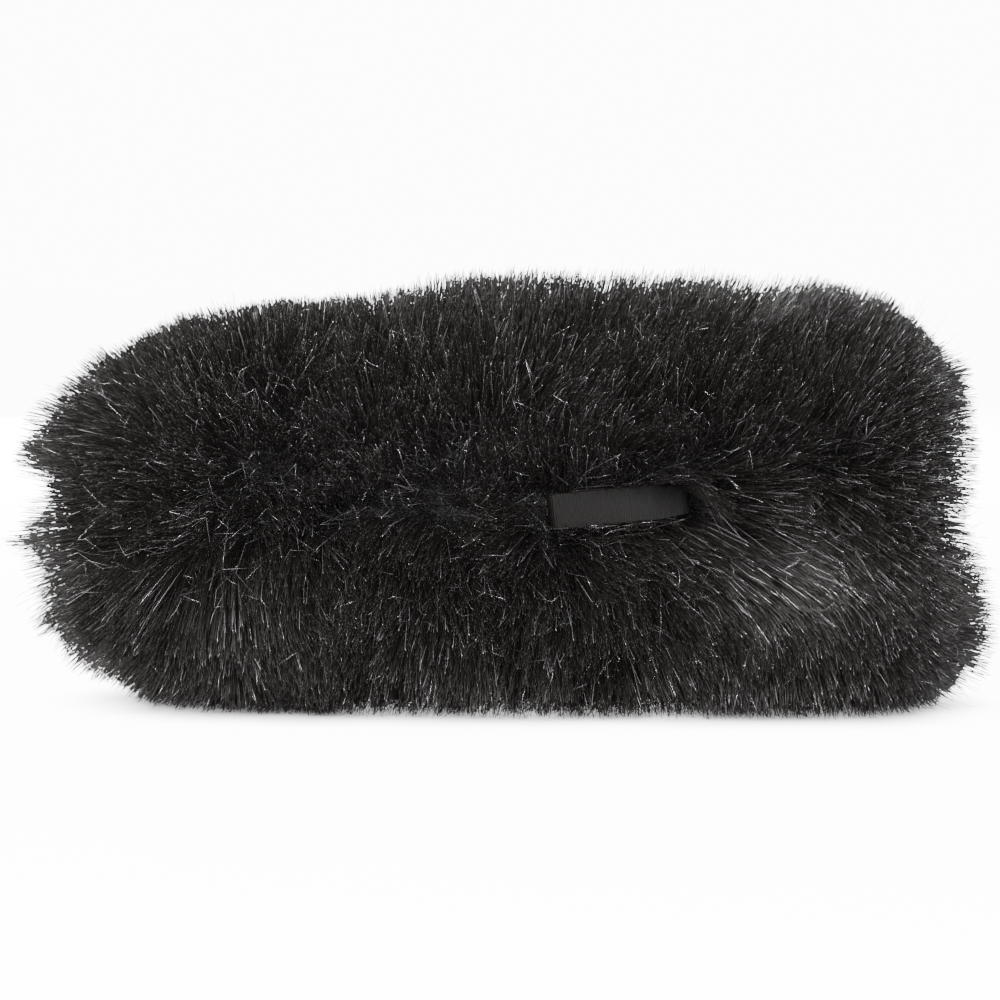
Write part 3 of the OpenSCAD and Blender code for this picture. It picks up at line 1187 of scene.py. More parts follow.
@dataclass
class Pile:
    """All the hairs of the cover."""

    shape: CoverShape
    lie: PileLie
    tag: Tag
    seam_half: float = 0.12 * MM                        # no hair grows nearer to a seam
    tuft_sway: float = 0.17                             # slopes that a tuft's hairs share
    bunch_sway: float = 0.12
    curl: float = 0.12
    stray: float = 1.6 * MM                             # how far a stray hair's tip wanders
    tag_room: float = 1.1 * MM                          # mean gap from the tag to a hair
    tag_lap: float = 0.25 * MM                          # how far a hair may lap over its edge
    # How far the clear space fades out behind the tag, before it, and below its face
    tag_behind: tuple[float, float] = (1 * MM, 10 * MM)
    tag_before: tuple[float, float] = (0.2 * MM, 3 * MM)
    tag_below: tuple[float, float] = (12 * MM, 2 * MM)
    layers: tuple[float, float] = (0.2 * MM, 3.0 * MM)  # how high the hairs lie on the ground
    spread_out: float = 0.8                             # how far they turn sideways there
    spread_along: float = 0.55
    parted: float = 6 * MM                              # how unevenly they part to the sides
    ragged: tuple[float, float] = (0.05, 0.13)          # uneven lengths, and more on the nose
    bunch_ragged: float = 0.03

    def grow(self, roots: Roots, slope: Array, length: Array, joints: tuple[float, ...],
             bend: float = 0.55) -> Array:
        """Paths of hairs that start near their standing direction and bend into their slope.

        At share t along a hair its direction is out + (1 - bend + 2 bend t) slope.

        Args:
            roots: the hairs' roots.
            slope: (n, 3) slopes.
            length: the hairs' lengths.
            joints: shares of the length where a hair bends.
            bend: how much of the slope comes along the hair.

        Returns:
            (n, joints, 3) points.
        """
        path = [roots.place]
        for start, end in zip(joints, joints[1:]):
            way = unit(roots.out + (1 - bend + bend * (start + end)) * slope)
            path.append(path[-1] + way * (length * (end - start))[:, None])
        return np.stack(path, 1)

    def lay_on_floor(self, path: Array, layer: Array, drift: Array) -> Array:
        """Turns what would go through the ground outwards along it.

        A point that lies e below its own layer is lifted by e and moved spread_out e
        sideways and spread_along e times its drift along the bore.

        Args:
            path: (n, joints, 3) points of the hairs.
            layer: how high above the ground each hair may lie.
            drift: (n, 2) random numbers.

        Returns:
            The moved points.
        """
        short = np.maximum(0.0, self.shape.floor_z + layer[:, None] - path[..., 2])
        side = np.sign(path[:, :1, 1] + self.parted * drift[:, :1])
        out = path.copy()
        out[..., 2] += short
        out[..., 1] += self.spread_out * short * side
        out[..., 0] += self.spread_along * short * drift[:, 1:]
        return out

    def clear_tag(self, path: Array, above: Array, room: Array) -> Array:
        """Pushes the hairs in front of the tag up or down from it.

        Across the tag, a distance c becomes the root of c squared plus h squared, where h is
        the tag's half width and each hair's own room, faded out below its face and beyond
        its ends, further behind it than before it.

        Args:
            path: (n, joints, 3) points of the hairs.
            above: whether each hair grows above the seam.
            room: how far past the tag's edge each hair keeps.

        Returns:
            The moved points.
        """
        along, out, across = self.tag.local(path)
        past = np.abs(along) - self.tag.half_len
        ends = 1 - np.where(along > 0, smoothstep(*self.tag_behind, past),
                            smoothstep(*self.tag_before, past))
        deep, near = self.tag_below
        depth = smoothstep(self.tag.face - deep, self.tag.face - near, out)
        reach = (self.tag.half_w + room[:, None]) * ends * depth
        side = np.where(above, 1.0, -1.0)[:, None]
        kept = np.maximum(side * across, 0.0)
        pushed = side * np.sqrt(kept ** 2 + reach ** 2)
        share = ends * depth
        across = across + (pushed - across) * share
        return self.tag.world(along, out, across)

    def hairs(self, kind: HairKind, seed: int, tufts: Tufts, bunches: Tufts
              ) -> tuple[Roots, Array, Array]:
        """Grows one kind of hair.

        Args:
            kind: its sizes.
            seed: the seed of its random numbers.
            tufts: the tufts that its hairs gather into.
            bunches: the wider bunches that lean together.

        Returns:
            The roots, the paths as (n, joints, 3), and each hair's shade from 0 to 1.
        """
        rng = np.random.default_rng(seed)
        s, angle = self.shape.spread(rng, kind.count)
        roots = Roots.on(self.shape, s, angle)
        keep = np.abs(from_seam(self.shape, roots)) > self.seam_half
        roots = roots[keep]
        n = len(roots.s)
        tuft = tufts.nearest(roots.s, roots.angle)
        bunch = bunches.nearest(roots.s, roots.angle)
        low, high = kind.length
        even, extra = self.ragged
        ragged = even + extra * smoothstep(0.6, 0.95, -roots.out[:, 0])
        full = self.lie.height(roots) * (
            1 + ragged * tufts.draw[tuft, 2] + self.bunch_ragged * bunches.draw[bunch, 2])
        length = full * (high - (high - low) * rng.uniform(0, 1, n) ** 1.6)

        def sway(draws: Array, amount: float) -> Array:
            """A random slope along the backing."""
            return amount * (draws[:, :1] * roots.back + draws[:, 1:2] * roots.round)

        slope = self.lie.slope(roots)
        shared = (sway(tufts.draw[tuft], self.tuft_sway)
                  + sway(bunches.draw[bunch], self.bunch_sway))
        own = sway(rng.normal(0, 1, (n, 2)), kind.wild)
        path = self.grow(roots, slope + shared + own, length, kind.joints)
        share = np.array(kind.joints)
        curl = sway(rng.normal(0, 1, (n, 2)), self.curl) * length[:, None]
        path = path + curl[:, None] * (share ** 2 * (2 - 1.6 * share))[None, :, None]
        if kind.gather:
            heads = Roots.on(self.shape, tufts.s[tuft], tufts.angle[tuft])
            lead = self.grow(heads, self.lie.slope(heads) + shared, length, kind.joints)
            path = path + (lead - path) * (kind.gather * share ** 2)[None, :, None]
        if kind is HAIRS[Hair.STRAY]:
            path = path + rng.normal(0, 1, path.shape) * (self.stray * share)[None, :, None]
        path = self.lie.locks(roots, path, share)
        above = from_seam(self.shape, roots) > 0
        beside = np.cos(roots.angle) > 0
        room = rng.exponential(self.tag_room, n) - self.tag_lap
        path[beside] = self.clear_tag(path[beside], above[beside], room[beside])
        layer = rng.uniform(*self.layers, n)
        path = self.lay_on_floor(path, layer, rng.normal(0, 1, (n, 2)))
        shade = np.mod(0.5 + 0.5 * tufts.draw[tuft, 3] * 0.6 + rng.uniform(0, 0.6, n), 1.0)
        if kind is HAIRS[Hair.GUARD]:
            # more pale hairs in the bright stretches: a painted highlight
            shade = np.minimum(shade + self.lie.glossy(roots), 1.0)
        elif kind is HAIRS[Hair.UNDER]:
            shade = shade * 0.6
        else:
            # many stray hairs are pale: painted glints, and glossier
            shade = rng.uniform(0.89, 1.0, n)
        return roots, path, shade

    def needles(self, path: Array, shade: Array, kind: HairKind, rng: np.random.Generator
                ) -> tuple[Array, Array, Array]:
        """Closed three-sided needles round hair paths.

        A needle has a ring of three points at each joint but the last, which is its tip.
        At share t its thickness is thick (0.60 + 1.1 t - 0.90 t^2).

        Args:
            path: (n, joints, 3) points of the hairs.
            shade: each hair's shade.
            kind: the hairs' sizes.
            rng: the random numbers.

        Returns:
            Points, triangles and the UV of each triangle's corners.
        """
        n, rings = path.shape[0], path.shape[1] - 1
        way = unit(path[:, -1] - path[:, 0])
        side = unit(np.cross(way, rng.normal(0, 1, (n, 3))))
        other = np.cross(way, side)
        share = np.array(kind.joints[:-1])
        swell = 0.5 * kind.thick * (0.60 + 1.1 * share - 0.90 * share ** 2)
        turn = np.arange(3) * 2 * math.pi / 3
        spoke = (np.cos(turn)[None, :, None] * side[:, None]
                 + np.sin(turn)[None, :, None] * other[:, None])
        ring = path[:, :rings, None] + swell[None, :, None, None] * spoke[:, None]
        verts = np.concatenate([ring.reshape(n, rings * 3, 3), path[:, -1:]], 1)
        tip = rings * 3
        faces = [(0, 2, 1)]
        for k in range(rings - 1):
            for j in range(3):
                a, b = 3 * k + j, 3 * k + (j + 1) % 3
                faces += [(a, b, b + 3), (a, b + 3, a + 3)]
        faces += [(tip - 3 + j, tip - 3 + (j + 1) % 3, tip) for j in range(3)]
        pattern = np.array(faces)
        along = np.append(np.repeat(share, 3), 1.0)
        across = np.append(np.tile(np.arange(3), rings), 1.0) * 0.002
        total = verts.shape[1]
        tris = (pattern[None] + (np.arange(n) * total)[:, None, None]).reshape(-1, 3)
        u = np.broadcast_to(along[pattern], (n, *pattern.shape))
        v = np.clip(shade, 0, 0.995)[:, None, None] + across[pattern][None]
        return verts.reshape(-1, 3), tris, np.stack([u, v], -1).reshape(-1, 3, 2)


@dataclass
class FurCover:
    """The pile's pieces: tracts of hairs on the two panels and on the rear ring."""

    shape: CoverShape
    tracts: int = 5
    tuft: float = 2.5 * MM      # from one tuft to the next
    bunch: float = 9.5 * MM

    def build(self) -> dict[str, list[bpy.types.Object]]:
        """Grows every hair and parts them into pieces.

        Returns:
            The pieces, listed by the backing that they grow on.
        """
        pile = Pile(self.shape, PileLie(self.shape), Tag(self.shape))
        tufts = Tufts(self.shape, self.tuft, 21)
        bunches = Tufts(self.shape, self.bunch, 22)
        finish = PileFinish().material()
        groups: dict[str, list] = {}
        for i, kind in enumerate(HAIRS.values()):
            roots, path, shade = pile.hairs(kind, 100 + i, tufts, bunches)
            names = self.tract(roots)
            rng = np.random.default_rng(200 + i)
            for name in np.unique(names):
                chosen = names == name
                groups.setdefault(str(name), []).append(
                    pile.needles(path[chosen], shade[chosen], kind, rng))
        pieces: dict[str, list[bpy.types.Object]] = {}
        for name, parts in sorted(groups.items()):
            verts, faces, uv, start = [], [], [], 0
            for v, f, t in parts:
                verts.append(v)
                faces.append(f + start)
                uv.append(t)
                start += len(v)
            piece = make_piece(name, np.concatenate(verts), np.concatenate(faces),
                               np.concatenate(uv))
            part = name.split("_")[0]
            node = "rear_fur_ring" if part == "rear" else f"{part}_fur_panel"
            finish_piece(piece, "cover", "fur", finish, node)
            pieces.setdefault(part, []).append(piece)
        return pieces

    def tract(self, roots: Roots) -> Array:
        """Shares the hairs out among the pieces.

        Args:
            roots: the hairs' roots.

        Returns:
            The name of the piece that each hair belongs to.
        """
        upper = np.sin(roots.angle - self.shape.turn) > 0
        panel = np.where(upper, "upper", "lower")
        share = (roots.s - self.shape.rear_end) / (self.shape.length - self.shape.rear_end)
        number = np.clip((share * self.tracts).astype(int), 0, self.tracts - 1)
        names = np.char.add(np.char.add(panel, "_pile_"), (number + 1).astype(str))
        half = np.where(np.cos(roots.angle) > 0, "rear_pile_1", "rear_pile_2")
        return np.where(roots.s < self.shape.rear_end, half, names)


# ---------------------------------------------------------------- the cover's cloth


@dataclass
class CoverCloth:
    """The knitted backings, the tape in the seam, and the woven tag."""

    shape: CoverShape
    tag: Tag
    finishes: Finishes
    thick: float = 1.2 * MM
    seam_half: float = 0.2 * MM       # from the seam to the edge of a panel
    tape_w: float = 9.0 * MM
    tape_t: float = 0.4 * MM
    ring_low_r: float = 27.6 * MM     # where the ring meets the hem
    tag_foot: float = 0.7 * MM        # from the backing to the tag's ends
    tag_depth: float = 0.35 * MM      # from the CAD tag's face to the ribbon's middle line
    rear_twist: float = math.radians(34)
    front_twist: float = math.radians(12)
    rows: int = 90
    columns: int = 60

    def build(self, piles: dict[str, list[bpy.types.Object]]) -> None:
        """Makes the pieces.

        Args:
            piles: the pile that grows on each backing.
        """
        self.panel("upper_backing", 0.0, "upper_fur_panel", piles["upper"])
        self.panel("lower_backing", math.pi, "lower_fur_panel", piles["lower"])
        self.ring(piles["rear"])
        self.seam_tape()
        self.ribbon()

    def meridian(self, inset: float, rear_x: float) -> Array:
        """The backing's outline from the rear to the nose's tip.

        The barrel is straight, and the nose is (nose_x - a cos t, b sin t), where a and b
        are both less by the inset.

        Args:
            inset: how far inside the backing's face the line runs.
            rear_x: where it starts.

        Returns:
            (n, 2) points of x and radius.
        """
        shape = self.shape
        barrel = np.linspace(rear_x, shape.nose_x, self.rows // 2)
        t = np.linspace(math.pi / 2, POLE, self.rows - self.rows // 2 + 1)[1:]
        a = shape.nose_x - shape.tip_x + shape.backing - shape.foam_r - inset
        b = shape.backing - inset
        return np.concatenate([
            np.stack([barrel, np.full_like(barrel, b)], 1),
            np.stack([shape.nose_x - a * np.cos(t), b * np.sin(t)], 1)])

    def panel(self, name: str, start: float, node: str, pile: list[bpy.types.Object]) -> None:
        """A panel's backing: half of the cover, from seam to seam.

        Args:
            name: the piece's name.
            start: the angle of the panel's first seam from the tag's.
            node: the CAD node that it stands for.
            pile: the pieces of pile that grow on it; not used.
        """
        shape = self.shape
        front = self.meridian(0.0, shape.rear_x)
        back = self.meridian(self.thick, shape.rear_x)
        across = np.linspace(0, 1, self.columns)
        grids = []
        for line in (front, back):
            edge = np.minimum(self.seam_half / np.maximum(line[:, 1], 1e-6), 0.6)[:, None]
            angle = start + shape.turn + edge + (math.pi - 2 * edge) * across[None, :]
            x, r = line[:, None, 0], line[:, None, 1]
            grids.append(np.stack([x + 0 * angle, -r * np.cos(angle), r * np.sin(angle)], -1))
        piece = slab(name, grids[0], grids[1])
        finish_piece(piece, "cover", "fur", self.finishes.knit, node)

    def ring(self, pile: list[bpy.types.Object]) -> None:
        """The rear ring's backing: it turns round the rear edge and in towards the hem.

        Args:
            pile: the pieces of pile that grow on it; not used.
        """
        shape = self.shape
        edge_x, edge_r = shape.rear_x + REAR_GAP, shape.backing
        line = rounded([(edge_x, edge_r), (shape.rear_x + shape.corner, edge_r),
                        (shape.rear_x + shape.corner, self.ring_low_r)], 1.4 * MM, False)
        line = stretched(line, 0.9 * MM)
        way = unit(np.gradient(line, axis=0))
        inner = line + self.thick * 0.75 * np.stack([way[:, 1], -way[:, 0]], 1)
        angle = np.arange(150) * 2 * math.pi / 150
        inner[0, 0] = line[0, 0]
        piece = slab("rear_backing", round_bore(line, angle), round_bore(inner, angle), True)
        finish_piece(piece, "cover", "fur", self.finishes.knit, "rear_fur_ring")

    def seam_tape(self) -> None:
        """The tape inside the seam: up one side, round the nose and back down the other."""
        shape = self.shape
        gap = shape.backing - self.thick - shape.foam_r
        faces = []
        for inset in (self.thick + (gap - self.tape_t) / 2, self.thick + (gap + self.tape_t) / 2):
            line = self.meridian(inset, shape.rear_x)
            both = np.concatenate([line, line[::-1] * (1, -1)])
            v = np.linspace(-1, 1, 13) * self.tape_w / 2
            r, x = both[:, None, 1], both[:, None, 0]
            tall = v[None, :] + 0 * r
            wide = np.sign(r) * np.sqrt(np.maximum(r ** 2 - tall ** 2, (0.02 * MM) ** 2))
            cos, sin = math.cos(shape.turn), math.sin(shape.turn)
            faces.append(np.stack([x + 0 * tall, -wide * cos + tall * sin,
                                   wide * sin + tall * cos], -1))
        piece = slab("seam_tape_piece", faces[0], faces[1])
        finish_piece(piece, "cover", "binding", self.finishes.tape, "seam_tape")

    def ribbon(self) -> None:
        """The tag: a woven ribbon that goes down through the pile at both ends.

        Along it, its middle line rises from a foot, turns over a fold and bows across the
        face. Across it, each point is turned about that line by the twist there.
        """
        tag, shape = self.tag, self.shape
        fold, bow, thick = 2.5 * MM, 1.5 * MM, 0.5 * MM
        foot = shape.backing + self.tag_foot
        face = tag.face - bow - self.tag_depth
        a = np.radians(np.linspace(0, 90, 9))
        leg = np.linspace(foot, face - fold, 10)[:-1]
        flat = np.linspace(1, 0, 30)[1:]
        half = np.concatenate([
            np.stack([np.full_like(leg, tag.half_len), leg], 1),
            np.stack([tag.half_len - fold + fold * np.cos(a), face - fold + fold * np.sin(a)], 1),
            np.stack([flat * (tag.half_len - fold), face + bow * (1 - flat ** 2)], 1)])
        line = stretched(np.concatenate([half, half[-2::-1] * (-1, 1)]), 0.6 * MM)
        length = np.concatenate([[0], np.cumsum(np.linalg.norm(np.diff(line, axis=0), axis=1))])
        share = length / length[-1]
        way = unit(np.gradient(line, axis=0))
        normal = np.stack([-way[:, 1], way[:, 0]], 1) * -1
        twist = (self.rear_twist * smoothstep(6 * MM, 16 * MM, line[:, 0])
                 - self.front_twist * smoothstep(-10 * MM, -17 * MM, line[:, 0]))
        v = np.linspace(-1, 1, 21)
        selvedge = smoothstep(0.90, 0.95, np.abs(v))
        ripple = 0.12 * MM * np.sin(9 * share)[:, None] * v[None, :] ** 2
        grids = []
        for side in (1, -1):
            lift = side * (thick / 2 + 0.06 * MM * selvedge)[None, :] + ripple
            across = v[None, :] * tag.half_w * np.cos(twist)[:, None]
            deep = lift - np.abs(v[None, :] + 1) * tag.half_w * np.sin(twist)[:, None] * 0.5
            along = line[:, None, 0] + normal[:, None, 0] * lift
            out = line[:, None, 1] + normal[:, None, 1] * lift + (deep - lift)
            grids.append(tag.world(along, out, across))
        piece = slab("woven_tag", grids[0], grids[1])
        finish_piece(piece, "cover", "tag_ribbon", self.finishes.ribbon, "side_tag")


@dataclass
class Hem:
    """The bound edge of the rear opening, with its elastic cord."""

    shape: CoverShape
    finishes: Finishes
    thick: float = 0.65 * MM
    slack: float = 0.12 * MM            # from the cord to the binding
    wrap_start: float = math.radians(62)
    wrap: float = 338                   # degrees of the binding's turn round the cord
    gathers: int = 58
    gather_h: float = 0.13 * MM

    def build(self) -> None:
        """Makes the binding and the cord inside it."""
        low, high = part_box("hem_elastic")
        self.cord_r = (high.x - low.x) / 2
        self.mid_x = (high.x + low.x) / 2
        self.mid_r = high.z - self.cord_r
        self.binding()
        self.cord()

    def binding(self) -> None:
        """The binding: a web from the ring, wrapped round the cord and gathered by it.

        The gathers are ripples of the tube's radius, of uneven height round the opening,
        and they fade out towards the web's sewn edge.
        """
        web_x = self.shape.rear_x + REAR_GAP + self.thick / 2
        outer_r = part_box("hem_binding")[1].z - 0.1 * MM
        tube = self.cord_r + self.slack + self.thick / 2
        a = self.wrap_start - np.radians(np.linspace(0, self.wrap, 18))
        loop = np.stack([self.mid_x - tube * np.cos(a), self.mid_r + tube * np.sin(a)], 1)
        lead = rounded([(web_x, outer_r), (web_x, self.mid_r + tube * 0.98), tuple(loop[0])],
                       0.8 * MM, False)
        line = np.concatenate([stretched(lead, 0.8 * MM)[:-1], loop])
        way = unit(np.gradient(line, axis=0))
        normal = np.stack([way[:, 1], -way[:, 0]], 1)
        angle = np.arange(200) * 2 * math.pi / 200
        uneven = 0.6 + 0.4 * np.sin(7 * angle + 1) * np.sin(11 * angle)
        gather = np.sin(self.gathers * angle + 0.8 * np.sin(5 * angle)) * uneven
        share = np.linspace(0, 1, len(line))
        swell = self.gather_h * smoothstep(0.12, 0.45, share)[:, None] * gather[None, :]
        grids = []
        for side in (1, -1):
            off = side * self.thick * 0.46 + swell
            x = line[:, None, 0] + normal[:, None, 0] * off
            r = line[:, None, 1] + normal[:, None, 1] * off
            grids.append(np.stack([x, -r * np.cos(angle), r * np.sin(angle)], -1))
        piece = slab("hem_binding_piece", grids[0], grids[1], True)
        finish_piece(piece, "cover", "binding", self.finishes.binding, "hem_binding")

    def cord(self) -> None:
        """The braided elastic: a ring whose strands make small crossing bumps."""
        turns, sides = 320, 14
        angle = np.arange(turns) * 2 * math.pi / turns
        round_it = np.arange(sides) * 2 * math.pi / sides
        t, a = np.meshgrid(angle, round_it, indexing="ij")
        bump = np.sin(80 * t + 4 * a) * np.sin(80 * t - 4 * a)
        radius = self.cord_r * (0.96 + 0.04 * bump)
        r = self.mid_r + radius * np.cos(a)
        verts = np.stack([self.mid_x + radius * np.sin(a), -r * np.cos(t), r * np.sin(t)], -1)
        i, j = np.meshgrid(np.arange(turns), np.arange(sides), indexing="ij")
        far, after = (i + 1) % turns, (j + 1) % sides
        faces = np.stack([i * sides + j, i * sides + after, far * sides + after, far * sides + j],
                         -1).reshape(-1, 4)
        u = np.stack([i, i, i + 1, i + 1], -1).reshape(-1, 4) / turns
        v = np.stack([j, j + 1, j + 1, j], -1).reshape(-1, 4) / sides
        piece = make_piece("elastic_cord", verts.reshape(-1, 3), faces, np.stack([u, v], -1))
        finish_piece(outward(piece), "cover", "elastic", self.finishes.cord, "hem_elastic")


@dataclass
class Sewing:
    """Every stitch: a short thread that bows over its seam and dips into the cloth."""

    shape: CoverShape
    tag: Tag
    finishes: Finishes
    thread: float = 0.5 * MM
    pitch: float = 5 * MM
    clear: float = 0.05 * MM        # from the cloth to a stitch
    side_len: float = 1.4 * MM      # lengths of the stitches
    rear_len: float = 1.2 * MM
    hem_len: float = 2.4 * MM
    tag_len: float = 1.83 * MM
    rear_room: float = 1.6 * MM     # from the last side stitch to the rear edge
    rear_back: float = 0.8 * MM     # from the ring's edge to the rear stitches' middles
    tag_past: float = 0.65 * MM     # from the tag's end to its stitches
    tag_rise: float = 2.2 * MM      # from the backing to them

    def build(self) -> None:
        """Makes the four groups of stitches where the CAD has them."""
        self.side_seam()
        self.rear_seam()
        self.hem()
        self.tag_ends()

    def arcs(self, name: str, middle: Array, across: Array, out: Array, length: float,
             node: str, slot: str = "thread") -> None:
        """Stitches as one piece.

        A stitch follows middle + across (length / 2) t + out h (0.35 - t^2) for t from -1 to
        1, with a pentagon of points round it at seven places.

        Args:
            name: the piece's name.
            middle: (n, 3) places of the stitches' middles.
            across: (n, 3) directions of the stitches.
            out: (n, 3) directions away from the cloth.
            length: how far a stitch reaches.
            node: the CAD node that the piece stands for.
            slot: the record's material slot of the thread.
        """
        t = np.linspace(-1, 1, 7)
        rise = 0.22 * self.thread
        line = (middle[:, None] + across[:, None] * (t * (length - self.thread) / 2)[None, :, None]
                + out[:, None] * (rise * (0.35 - t ** 2))[None, :, None])
        a = np.arange(5) * 2 * math.pi / 5
        side = np.cross(across, out)
        ring = (np.cos(a)[None, :, None] * out[:, None] + np.sin(a)[None, :, None] * side[:, None])
        thick = 0.42 * self.thread * np.array([0.55, 0.9, 1, 1, 1, 0.9, 0.55])
        verts = line[:, :, None] + ring[:, None] * thick[None, :, None, None]
        n, rows = len(middle), len(t)
        pattern = grid_faces(rows, 5, True)
        faces = (pattern[None] + (np.arange(n) * rows * 5)[:, None, None]).reshape(-1, 4)
        u = (pattern // 5) / (rows - 1)
        v = np.broadcast_to(np.array([0.0, 1.0, 1.0, 0.0]), pattern.shape) / 5 + (
            np.tile(np.arange(5), rows - 1) / 5)[:, None]
        uv = np.tile(np.stack([u, v], -1), (n, 1, 1))
        piece = make_piece(name, verts.reshape(-1, 3), faces, uv)
        mesh = bmesh.new()
        mesh.from_mesh(piece.data)
        bmesh.ops.holes_fill(mesh, edges=mesh.edges, sides=5)
        mesh.to_mesh(piece.data)
        mesh.free()
        finish_piece(outward(piece), "cover", slot, self.finishes.thread, node)

    def on_seam(self, x: Array, r: Array) -> tuple[Array, Array, Array]:
        """Places in the seam's plane.

        Args:
            x: places along the bore.
            r: distances from it, below 0 on the far side.

        Returns:
            The places, the direction across the seam, and the way out from the cloth.
        """
        cos, sin = math.cos(self.shape.turn), math.sin(self.shape.turn)
        place = np.stack([x, -r * cos, r * sin], 1)
        across = np.broadcast_to(np.array([0.0, sin, cos]), place.shape)
        out = np.stack([0 * x, -np.sign(r) * cos, np.sign(r) * sin], 1)
        return place, across, out

    def side_seam(self) -> None:
        """The seam between the panels: even steps along the sides, then round the nose."""
        shape = self.shape
        rise = self.thread / 2 + self.clear
        straight = shape.rear_x - self.rear_room - shape.nose_x
        count = int(straight / self.pitch)
        x = shape.nose_x + (np.arange(count) + 0.5) * straight / count
        r = np.full(count, shape.backing + rise)
        nose = shape.nose_x - shape.tip_x
        nose_count = int(nose * 3 / self.pitch / 2) * 2
        t = np.radians(180 * np.arange(1, nose_count) / nose_count - 90)
        grow = shape.backing - shape.foam_r + rise
        nose_place = shape.nose_x - (nose + grow) * np.cos(t), (shape.foam_r + grow) * np.sin(t)
        place, across, out = self.on_seam(np.concatenate([x, x, nose_place[0]]),
                                          np.concatenate([r, -r, nose_place[1]]))
        way = np.cos(t)
        out[2 * count:] = unit(np.stack([-way, out[2 * count:, 1] * np.abs(np.sin(t)),
                                         out[2 * count:, 2] * np.abs(np.sin(t))], 1))
        self.arcs("side_seam_thread", place, across, out, self.side_len, "side_seam_stitches")

    def rear_seam(self) -> None:
        """The seam between the panels and the ring."""
        r = self.shape.backing + self.thread / 2 + self.clear
        count = round(2 * math.pi * r / self.pitch)
        a = (np.arange(count) + 0.5) * 2 * math.pi / count
        out = np.stack([0 * a, -np.sin(a), np.cos(a)], 1)
        middle = out * r + np.array([self.shape.rear_x + REAR_GAP - self.rear_back, 0, 0])
        across = np.broadcast_to(np.array([1.0, 0.0, 0.0]), out.shape)
        self.arcs("rear_seam_thread", middle, across, out, self.rear_len, "rear_seam_stitches")

    def hem(self) -> None:
        """The stitches that hold the binding to the ring."""
        low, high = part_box("hem_stitches")
        r = high.z - self.hem_len / 2
        count = round(2 * math.pi * r / self.pitch)
        a = np.arange(count) * 2 * math.pi / count
        across = np.stack([0 * a, -np.sin(a), np.cos(a)], 1)
        middle = across * r + np.array([(low.x + high.x) / 2, 0, 0])
        out = np.broadcast_to(np.array([1.0, 0.0, 0.0]), across.shape)
        self.arcs("hem_thread", middle, across, out, self.hem_len, "hem_stitches")

    def tag_ends(self) -> None:
        """Three stitches across each end of the tag."""
        pitch = self.tag.half_w * 2 / 3
        row = (np.arange(3) + 0.5) * pitch - self.tag.half_w
        side = np.repeat([-1.0, 1.0], 3)
        along = side * (self.tag.half_len + self.tag_past)
        foot = np.full(6, self.shape.backing + self.tag_rise)
        middle = self.tag.world(along, foot, np.tile(row, 2))
        ahead = self.tag.world(along + side, foot, np.tile(row, 2))
        up = self.tag.world(along, foot, np.tile(row, 2) + 1)
        self.arcs("tag_thread_piece", middle, up - middle, ahead - middle, self.tag_len,
                  "tag_stitches", "tag_thread")


# ---------------------------------------------------------------- the core


